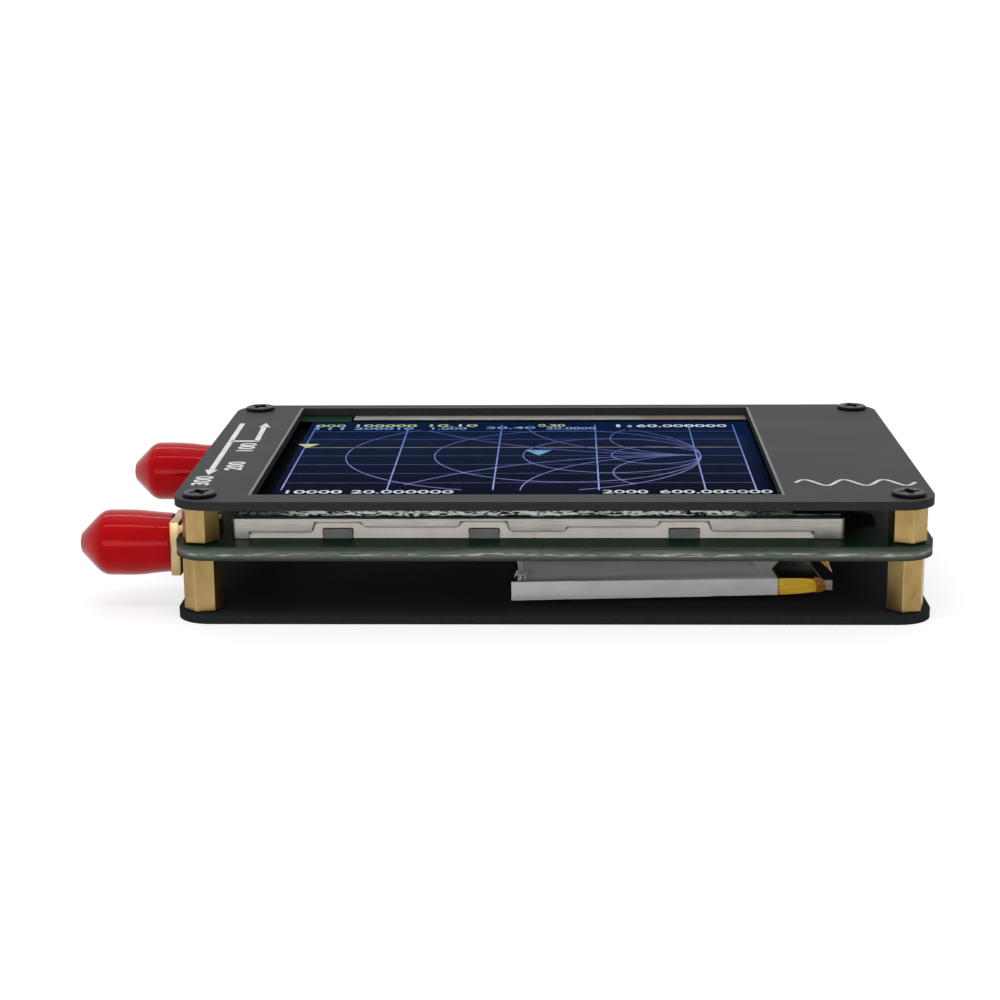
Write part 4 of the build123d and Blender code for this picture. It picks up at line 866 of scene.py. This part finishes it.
def on_battery(piece):
    """Lays a piece made at the battery's own corner where the battery lies."""
    return moved(piece, BATTERY_CORNER, (0, 0, math.degrees(BATTERY_TURN)))


def leaf(name, steps, thickness, place):
    """A thin curved leaf. Place gives the point in millimetres for shares 0 to 1 across and along it."""
    deselect()
    bpy.ops.mesh.primitive_grid_add(x_subdivisions=steps[0], y_subdivisions=steps[1], size=2 * MM)
    piece = made(name)
    for vertex in piece.data.vertices:
        across, along = (min(max((value / MM + 1) / 2, 0.0), 1.0) for value in vertex.co.xy)
        vertex.co = Vector(place(across, along)) * MM
    modified(piece, "SOLIDIFY", thickness=thickness * MM, offset=0.0)
    edit(piece)
    close_outwards()
    return smooth(piece, 60)


def pouch_folds():
    """The corner folded over the top at the right end, and two small loops of laminate at the left end."""
    top = BATTERY_SIZE[2]

    def corner(across, along):
        left = (28.95 - 1.0 * along, 0.2 + 2.4 * along)
        right = (29.05 + 2.2 * along, 0.25 + 2.1 * along)
        x, y = (a + (b - a) * across for a, b in zip(left, right))
        ridge = math.sin(math.pi * across) * 0.15 * along
        return (x, y, top - 0.14 + 1.3 * along**1.2 + ridge)

    def loop(x0, radius, y0):
        def place(across, along):
            angle = math.radians(-70 + 250 * across)
            x = x0 + radius * math.cos(angle) + 0.25 * along
            return (x, y0 + 1.9 * along, top + radius * (0.55 + math.sin(angle)))
        return place

    return [
        leaf("corner_fold", (10, 10), 0.07, corner),
        leaf("loop", (12, 4), 0.06, loop(0.75, 0.34, 0.5)),
        leaf("loop", (12, 4), 0.06, loop(1.45, 0.24, 0.9)),
    ]


def battery_pouch():
    """Laminate pouch: a soft-edged block with sunk and swollen faces and its seam folded up in front."""
    length, depth, height = BATTERY_SIZE
    body = block("pouch_body", (0, 0.05, 0), (length, depth, height), 0.75, 4)
    subdivided(body, 5)
    subdivided(body, 3, "FACE", lambda face: abs(face.normal.z) > 0.9)
    edit(body)
    close_outwards()

    def sunk(point):
        swell = 0.09 * math.sin(math.pi * min(max(point.x / length, 0), 1))
        ripple = noise.noise(Vector((point.x * 0.3, point.y * 0.22, 3.1))) * 0.13
        return (0, 0, min(swell + ripple - 0.15, 0.0)) if point.z > height - 0.3 else (0, 0, 0)

    def drawn_in(point):
        return (max(0.0, 1 - point.x / 6) * (0.62 + 0.077 * min(point.y, 10.0)), 0, 0)

    shaped(body, sunk)
    shaped(body, drawn_in)
    seam = block("seam", (0.0, -0.24, 0.0), (length - 0.1, -0.04, SEAM_HEIGHT))
    for cuts, axis in ((60, 0), (10, 2)):
        subdivided(seam, cuts, "EDGE", lambda edge: abs((edge.verts[0].co - edge.verts[1].co)[axis]) > 1 * MM)

    def folded(point):
        share = point.x / length
        low = SEAM_BOTTOM[0] + (SEAM_BOTTOM[1] - SEAM_BOTTOM[0]) * share
        high = SEAM_TOP[0] + (SEAM_TOP[1] - SEAM_TOP[0]) * share
        level = low + (high - low) * point.z / SEAM_HEIGHT
        level += 0.035 * noise.noise(Vector((point.x * 0.4, 0, 7.0)))
        crease = 0.62 * (1 - share * 1.6)
        lip = max(0.0, crease - (level - low)) * 0.32
        wave = 0.05 * noise.noise(Vector((point.x * 0.3, point.z * 0.5, 1.0)))
        return (0, lip + wave, level - point.z)

    shaped(seam, folded)
    pouch = joined("laminate_pouch", [body, seam, *pouch_folds()])
    on_battery(pouch)
    smooth(pouch, 50)
    return placed(pouch, "chassis", "pouch_silver", FINISHES["pouch_silver"], "battery_pouch")


def battery_tape():
    """Film sleeve round the protection board, wrinkled and pinched towards its open end."""
    length, depth, _ = BATTERY_SIZE
    sleeve = block("film_sleeve", (length - 0.02, 0, 0.02), (length + SLEEVE_LENGTH, depth, 2.17), 0.28, 3)
    subdivided(sleeve, 7)

    def pinch(point):
        share = min(max((point.x - length) / SLEEVE_LENGTH, 0), 1)
        flat = share**2 * 0.32
        ripple = noise.noise(Vector((point.x * 0.7, point.y * 0.5, point.z * 0.9))) * 0.1
        inward = 0.25 * share if point.y < 2 else 0.0
        return (0, inward + ripple * 0.5, (1.1 - point.z) * flat * 0.8 + ripple * (0.2 < point.z < 2.0))

    shaped(sleeve, pinch)
    on_battery(sleeve)
    smooth(sleeve, 50)
    placed(sleeve, "chassis", "tape_amber", FINISHES["tape_amber"], "battery_tape")


def tape_ends():
    """The film's pinched dark end and the grey tab of foil that sticks out of it."""
    def pinched_end(across, along):
        x = 30.2 + 1.0 * along + 0.15 * math.sin(5 * across)
        tall = 0.95 - 0.25 * along
        return (x, -19.75 - 0.25 * math.sin(math.pi * across) * (1 - along), 2.55 + tall * (2 * across - 1))

    def foil_tab(across, along):
        return (31.0 + 1.15 * along, -19.5 + 0.12 * math.sin(4 * along), 1.8 + 1.2 * across + 0.06 * along)

    dark = amber_film("tape_dark", (128, 76, 14), (176, 116, 28))
    placed(leaf("film_end", (8, 6), 0.1, pinched_end), "chassis", "tape_amber", dark)
    grey = folded_steel("tab_grey", (96, 94, 86), (126, 122, 112), 0.5)
    placed(leaf("foil_tab", (4, 6), 0.12, foil_tab), "chassis", "contact_gold", grey)


def curled_scrap():
    """A torn leaf of film that hangs curled under the board's front edge."""
    def hanging(across, along):
        turn = math.radians(25 + 70 * along)
        half = 0.72 * (1 - along) ** 0.55 * (across - 0.5) * 2 + 0.02 * (across - 0.5)
        middle = (30.45 + 0.85 * along**1.4, -25.0 + 0.35 * math.sin(math.pi * along), 7.36 - 1.68 * along)
        curl = 0.22 * math.cos(math.pi * across)
        x = middle[0] + half * math.cos(turn)
        y = middle[1] + half * math.sin(turn) * 0.7 - curl
        return (x, y, middle[2] + 0.25 * half)

    film = amber_film("scrap_amber", (176, 112, 30), (240, 184, 84))
    placed(leaf("curled_film", (10, 12), 0.05, hanging), "chassis", "tape_amber", film, "tape_scrap")


# ---- Screen picture ----

PICTURE_X = (-32.8, 25.75)
PICTURE_Y = (-19.2, 24.6)
PICTURE_BOTTOM = POLARIZER_TOP + 0.002
LINE_STEP = 0.008
UPRIGHT_LINES = [-31.95 + 12.45 * step for step in range(5)] + [23.75]
UPRIGHT_SPAN = (-13.9, 22.6)
LEVEL_LINES = [-10.3 + 4.79 * step for step in range(7)]
TRACE_LINE = 4
CHART_CENTRE = (-3.86, 4.36)
CHART_RADIUS = 22.24
CHART_SQUASH = 0.86
UPRIGHT_WIDTH = 0.17
LEVEL_WIDTH = 0.26
CHART_WIDTH = 0.15
CHART_SPAN = (-13.9, 19.4)
CHART_POINTS = 160
LOWEST_ROW = -14.95
HIGHEST_ROW = 22.0
SECOND_ROW = 20.2
WHITE_DIGITS = (
    ("10000", -31.5, -24.9, LOWEST_ROW),
    ("20.000000", -23.6, -11.6, LOWEST_ROW),
    ("2000", 5.8, 11.1, LOWEST_ROW),
    ("600.000000", 12.45, 25.5, LOWEST_ROW),
    ("1:", 7.9, 10.0, 21.7),
    ("60.000000", 10.9, 22.9, 21.7),
)
YELLOW_DIGITS = (
    ("000", -32.0, -28.0, HIGHEST_ROW),
    ("100000", -26.8, -18.7, HIGHEST_ROW),
    ("10.10", -17.0, -10.6, HIGHEST_ROW),
    ("0.20", -2.2, 1.4, HIGHEST_ROW),
)
CYAN_DIGITS = (
    ("111", -31.8, -28.1, SECOND_ROW),
    ("200010", -26.7, -18.8, SECOND_ROW),
    ("1.000", -16.5, -11.9, SECOND_ROW),
    ("30.40", -9.1, -2.6, 20.6),
    ("20.0000", -1.1, 5.5, SECOND_ROW),
)
CYAN_POINTER = ((-3.6, 7.2), (-1.9, 4.3), (-0.3, 7.2))
YELLOW_POINTER = ((-33.0, 10.9), (-31.7, 8.7), (-30.3, 10.9))


def lit(piece, finish):
    return placed(piece, "chassis", "polarizer_dark", finish)


def sheet_of(name, spans, low, high):
    """Thin raised strips, each given as (lowest X, lowest Y, highest X, highest Y)."""
    strips = [plane(name, (x0, y0), (x1, y1), low) for x0, y0, x1, y1 in spans]
    return raised(joined(name, strips), high - low)


def chart_ring(centre, radius, low, high, width=CHART_WIDTH):
    """One circle of the chart, without what lies outside its rim."""
    deselect()
    outer = radius + width / 2
    bpy.ops.mesh.primitive_circle_add(vertices=CHART_POINTS, radius=outer * MM, location=(0, 0, low * MM))
    ring = made("chart_ring")
    edit(ring, "EDGE")
    share = (radius - width / 2) / outer
    bpy.ops.mesh.extrude_edges_move()
    bpy.ops.transform.resize(value=(share, share, 1), center_override=(0, 0, low * MM))
    close()
    moved(ring, (centre[0], centre[1], 0))

    def outside(face):
        middle = face.calc_center_median() / MM
        level = CHART_CENTRE[1] + CHART_SQUASH * middle.y
        off_rim = math.hypot(middle.x, middle.y) > CHART_RADIUS + width
        return off_rim or not CHART_SPAN[0] < level < CHART_SPAN[1]

    edit(ring, "FACE", outside)
    bpy.ops.mesh.delete(type="FACE")
    close()
    return raised(ring, high - low)


def chart():
    """Impedance chart: its rim, the circles that touch the rim's right end and the arcs that start there."""
    low, high = PICTURE_BOTTOM + 1.5 * LINE_STEP, PICTURE_BOTTOM + 4 * LINE_STEP
    rings = [chart_ring((0, 0), CHART_RADIUS, low, high)]
    for share in (0.75, 0.5, 0.25):
        rings.append(chart_ring((CHART_RADIUS * (1 - share), 0), CHART_RADIUS * share, low, high))
    for share in (0.5, 1.0, 2.0):
        for sign in (-1, 1):
            radius = CHART_RADIUS * share
            rings.append(chart_ring((CHART_RADIUS, sign * radius), radius, low, high))
    piece = joined("picture_chart", rings)
    moved(piece, (CHART_CENTRE[0], CHART_CENTRE[1], 0), (0, 0, 0), (1, CHART_SQUASH, 1))
    return lit(piece, light("picture_violet", (160, 160, 226), (84, 96, 168)))


def label(text, centre, height, low, thickness, turn=0.0, span=None, weight=0.02):
    """Raised digits with their middle at a place, as wide as span where it is given."""
    deselect()
    bpy.ops.object.text_add()
    words = bpy.context.object
    words.data.body = text
    words.data.size = height / 0.7 * MM
    words.data.extrude = thickness / 2 * MM
    words.data.offset = weight * height * MM
    words.data.align_x = "CENTER"
    words.data.align_y = "CENTER"
    activate(words)
    bpy.ops.object.convert(target="MESH")
    piece = made("digits")
    wide = span / (piece.dimensions.x / MM) if span else 1.0
    return moved(piece, (centre[0], centre[1], low + thickness / 2), (0, 0, turn), (wide, 1, 1))


def digits(name, rows, height, finish):
    """Rows of plain lit digits, each (text, lowest X, highest X, Y)."""
    low = PICTURE_BOTTOM + 4.5 * LINE_STEP
    words = []
    for text, x0, x1, y in rows:
        words.append(label(text, ((x0 + x1) / 2, y), height, low, LINE_STEP, 0.0, x1 - x0))
    return lit(joined(name, words), finish)


def screen_picture():
    """The lit picture under the touch panel."""
    base = PICTURE_BOTTOM
    corners = (PICTURE_X[0], PICTURE_Y[0], PICTURE_X[1], PICTURE_Y[1])
    ground = sheet_of("picture_ground", [corners], base, base + LINE_STEP)
    lit(ground, picture_dark())
    half = LEVEL_WIDTH / 2
    rows = [(UPRIGHT_LINES[0], y - half, UPRIGHT_LINES[-1], y + half) for y in LEVEL_LINES]
    trace = rows.pop(TRACE_LINE)
    lines = sheet_of("picture_level_lines", rows, base + LINE_STEP / 2, base + 2 * LINE_STEP)
    lit(lines, light("picture_grey", (86, 90, 128), (66, 80, 122)))
    trace = sheet_of("picture_trace", [trace], base + LINE_STEP / 2, base + 2 * LINE_STEP)
    lit(trace, light("picture_olive", (150, 152, 134)))
    half = UPRIGHT_WIDTH / 2
    columns = [(x - half, UPRIGHT_SPAN[0], x + half, UPRIGHT_SPAN[1]) for x in UPRIGHT_LINES]
    uprights = sheet_of("picture_upright_lines", columns, base + LINE_STEP, base + 3 * LINE_STEP)
    lit(uprights, light("picture_blue", (176, 186, 252), (84, 128, 206)))
    chart()
    white = light("picture_white", (236, 240, 246))
    yellow = light("picture_yellow", (212, 216, 158))
    cyan = light("picture_cyan", (128, 178, 226))
    digits("picture_white_digits", WHITE_DIGITS, 1.5, white)
    digits("picture_yellow_digits", YELLOW_DIGITS, 1.45, yellow)
    digits("picture_cyan_digits", CYAN_DIGITS, 1.35, cyan)
    low, high = base + LINE_STEP, base + 4 * LINE_STEP
    lit(triangle("picture_cyan_pointer", CYAN_POINTER, low, high - low), cyan)
    lit(triangle("picture_yellow_pointer", YELLOW_POINTER, low, high - low), yellow)


# ---- Window rim and the border behind the picture ----

RIM_WIDTH = 0.12
RIM_SIDE_WIDTH = 0.32
RIM_HEIGHT = 0.05
BORDER_SPAN = (-27.0, 22.4, 25.6, 25.6)
PATCH_SPAN = (-34.6, 21.4, -27.3, 25.6)


def window_rim():
    """Pale routed edge round the window, wider at its ends, let into the panel: exposed laminate, paler than
    the cut sides as a painted highlight.
    """
    low = (WINDOW_X[0] - RIM_WIDTH, WINDOW_Y[0] - RIM_WIDTH)
    high = (WINDOW_X[1] + RIM_WIDTH, WINDOW_Y[1] + RIM_WIDTH)
    rim = plane("window_rim", low, high, PLATE_TOP - 0.03)
    edit(rim)
    bpy.ops.mesh.inset(thickness=RIM_WIDTH * MM)
    bpy.ops.mesh.delete(type="FACE")
    close()
    raised(rim, RIM_HEIGHT)

    def widened(point):
        if low[0] + 0.01 < point.x < high[0] - 0.01:
            return (0, 0, 0)
        return (math.copysign(RIM_SIDE_WIDTH - RIM_WIDTH, point.x), 0, 0)

    shaped(rim, widened)
    # Painted highlight: the rim is paler than the laminate of the panel's cut sides.
    return placed(rim, "chassis", "plate_black", moulded("rim_laminate_and_highlight", (82, 84, 80), (104, 106, 102), 0.5))


def border_strip():
    """Printed pale border at the touch panel's far edge, and the darker patch at its left end."""
    low, high = TOUCH_TOP - 0.02, TOUCH_TOP + 0.012
    strip = sheet_of("touch_border", [BORDER_SPAN], low, high)
    finish = Finish("border_grey", (130, 130, 125), 0.6)
    right = finish.window(finish.sum(finish.coordinate("X"), finish.mottle(3.0)), 10.0, 13.5)
    cloud = finish.mottle((5.0, 1.2, 1.0), 4.0)
    grey = finish.between(finish.window(cloud, 0.3, 0.7), (114, 116, 110), (146, 146, 140))
    finish.colour(finish.between(right, grey, (112, 96, 86)))
    placed(strip, "chassis", "tape_black", finish.material)
    patch = sheet_of("touch_corner_patch", [PATCH_SPAN], low, high)
    green = moulded("patch_green", (18, 38, 30), (30, 52, 42), 0.4, Specular_IOR_Level=0.02)
    placed(patch, "chassis", "tape_black", green)


# ---- Marks on the top panel ----

MARK_THICKNESS = 0.03
MARK_SINK = 0.01
MARK_LINE = 0.66
ARROW_START = (-40.8, 15.0)
ARROW_NECK = (-40.48, -11.6)
ARROW_TIP = (-40.45, -14.0)
BRANCH_KNEE = (-40.6, 4.35)
BRANCH_TURN = (-37.1, 4.35)
BRANCH_FOOT = (-37.4, 4.35)
BRANCH_NECK = (-37.66, 12.9)
BRANCH_TIP = (-37.75, 15.3)
HEAD_LENGTH = 2.6
HEAD_WIDTH = 1.5
NUMBERS = (("200", (-37.87, -9.36)), ("100", (-38.0, 0.6)), ("300", (-40.5, -16.9)))
NUMBER_HEIGHT = 2.0
NUMBER_SPAN = 4.4
WAVE_X = (27.8, 41.4)
WAVE_Y = -18.0
WAVE_HEIGHT = 1.35
WAVE_LENGTH = 4.53
WAVE_STEPS = 60
WAVE_LINE = 0.42


def printed_line(start, end, width):
    """A straight printed line with square ends."""
    start, end = Vector(start), Vector(end)
    along = end - start
    corners = (-width / 2, 0, width / 2, along.length)
    piece = sheet_of("mark", [corners], PLATE_TOP - MARK_SINK, PLATE_TOP + MARK_THICKNESS)
    return moved(piece, (start.x, start.y, 0), (0, 0, math.degrees(math.atan2(-along.x, along.y))))


def arrow_head(tip, origin):
    """A printed arrowhead with its point at the tip, looking away from the origin."""
    tip = Vector(tip)
    direction = (tip - Vector(origin)).normalized()
    side = Vector((-direction.y, direction.x)) * HEAD_WIDTH / 2
    back = tip - direction * HEAD_LENGTH
    corners = (tip, back + side, back - side)
    return triangle("arrow_head", corners, PLATE_TOP - MARK_SINK, MARK_THICKNESS + MARK_SINK)


def panel_marks():
    """White print: an arrow with a branch between the jacks, plain numbers, and a wave sign at the right."""
    marks = [
        printed_line(ARROW_START, ARROW_NECK, MARK_LINE),
        printed_line(BRANCH_KNEE, BRANCH_TURN, MARK_LINE),
        printed_line(BRANCH_FOOT, BRANCH_NECK, MARK_LINE),
        arrow_head(ARROW_TIP, ARROW_START),
        arrow_head(BRANCH_TIP, BRANCH_TURN),
    ]
    low, thickness = PLATE_TOP - MARK_SINK, MARK_THICKNESS + MARK_SINK
    for text, place in NUMBERS:
        marks.append(label(text, place, NUMBER_HEIGHT, low, thickness, 90, NUMBER_SPAN, 0.03))
    for index in range(WAVE_STEPS):
        x0, x1 = (WAVE_X[0] + (WAVE_X[1] - WAVE_X[0]) * step / WAVE_STEPS for step in (index, index + 1.12))
        y0, y1 = (WAVE_Y + WAVE_HEIGHT * math.sin((x - WAVE_X[0]) / WAVE_LENGTH * math.tau) for x in (x0, x1))
        marks.append(printed_line((x0, y0), (x1, y1), WAVE_LINE))
    white = moulded("print_white", (206, 206, 204), (228, 228, 226), 0.6)
    return placed(joined("panel_print", marks), "chassis", "plate_black", white)


# ---- Stage, lights and camera ----

CAMERA_PLACE = (1.673, -248.789, 70.22)
CAMERA_LENS = 74.40
CAMERA_TURNS = (1.92, 75.89, -0.50)
FLOOR_SIZE = 3000.0
SKY_STRENGTH = 0.6
LAMPS = (
    ("overhead", (60, 40, 620), (0, 0, 0), (520, 420), 0.35),
    ("front_soft", (-140, -560, 110), (0, 0, 10), (420, 160), 0.7),
    ("front_streak", (-50, -175, 574), (-50, -18, 7), (640, 24), 0.66),
    ("back_streak", (-50, 300, 520), (-50, -18, 7), (640, 24), 0.66),
)
FLOOR_GLOW = (0.66, 0.78)
GLOW_REACH = (250.0, 700.0)


def add_camera():
    bpy.ops.object.camera_add()
    camera = bpy.context.object
    yaw, tilt, roll = (math.radians(angle) for angle in CAMERA_TURNS)
    turns = Matrix.Rotation(yaw, 4, "Z") @ Matrix.Rotation(tilt, 4, "X") @ Matrix.Rotation(roll, 4, "Z")
    camera.matrix_world = Matrix.Translation(Vector(CAMERA_PLACE) * MM) @ turns
    camera.data.lens = CAMERA_LENS
    camera.data.sensor_width = 36
    camera.data.clip_start = 0.01
    bpy.context.scene.camera = camera


def add_lamp(name, place, target, size, power):
    direction = (Vector(target) - Vector(place)).normalized()
    bpy.ops.object.light_add(type="AREA", location=Vector(place) * MM)
    lamp = bpy.context.object
    lamp.name = name
    lamp.rotation_euler = direction.to_track_quat("-Z", "Y").to_euler()
    lamp.data.shape = "RECTANGLE"
    lamp.data.size, lamp.data.size_y = size[0] * MM, size[1] * MM
    lamp.data.energy = power


def seen_rays(tree):
    """1 for rays that see the background: straight from the camera, in a gloss or through glass."""
    path = tree.nodes.new("ShaderNodeLightPath")
    seen = path.outputs["Is Camera Ray"]
    for name in ("Is Glossy Ray", "Is Transmission Ray"):
        most = tree.nodes.new("ShaderNodeMath")
        most.operation = "MAXIMUM"
        tree.links.new(seen, most.inputs[0])
        tree.links.new(path.outputs[name], most.inputs[1])
        seen = most.outputs[0]
    return seen


def add_world():
    world = bpy.data.worlds.new("plain_sky")
    bpy.context.scene.world = world
    world.use_nodes = True
    tree = world.node_tree
    sky = tree.nodes["Background"]
    sky.inputs["Color"].default_value = (1, 1, 1, 1)
    level = tree.nodes.new("ShaderNodeMapRange")
    tree.links.new(seen_rays(tree), level.inputs["Value"])
    level.inputs["To Min"].default_value = SKY_STRENGTH
    level.inputs["To Max"].default_value = 1.0
    tree.links.new(level.outputs["Result"], sky.inputs["Strength"])


def add_floor():
    deselect()
    bpy.ops.mesh.primitive_plane_add(size=FLOOR_SIZE * MM, location=(0, 0, -0.00002))
    floor = made("floor")
    finish = Finish("floor_white", (235, 235, 235), 0.9, 0.0, Specular_IOR_Level=0.0)
    finish.tree.nodes.remove(finish.shader)
    output = finish.tree.nodes["Material Output"]
    plain = finish.node("ShaderNodeBsdfDiffuse", {"Color": tint(225, 225, 225)})
    shaded = finish.node("ShaderNodeBsdfDiffuse", {"Color": (0.45, 0.45, 0.45, 1)})
    away = finish.node("ShaderNodeVectorMath", {0: finish.place}, operation="LENGTH").outputs["Value"]
    reach = [length * MM for length in GLOW_REACH]
    strength = finish.window(away, *reach, *FLOOR_GLOW)
    glow = finish.node("ShaderNodeEmission", {"Color": (1, 1, 1, 1), "Strength": strength})
    white = finish.node("ShaderNodeAddShader", {0: shaded.outputs[0], 1: glow.outputs[0]})
    shaders = {0: seen_rays(finish.tree), 1: plain.outputs[0], 2: white.outputs[0]}
    chosen = finish.node("ShaderNodeMixShader", shaders)
    finish.tree.links.new(chosen.outputs[0], output.inputs["Surface"])
    floor.data.materials.append(finish.material)


# ---- Making ----

add_camera()
add_world()
add_floor()
for lamp in LAMPS:
    add_lamp(*lamp)
dress_nodes()
top_screws()
bottom_screws()
for side in JACK_Y:
    dust_cap(side)
for side in JACK_Y:
    coax_jack(side)
battery_pouch()
battery_tape()
tape_ends()
curled_scrap()
screen_picture()
window_rim()
border_strip()
panel_marks()

bpy.context.scene.view_settings.view_transform = "Standard"
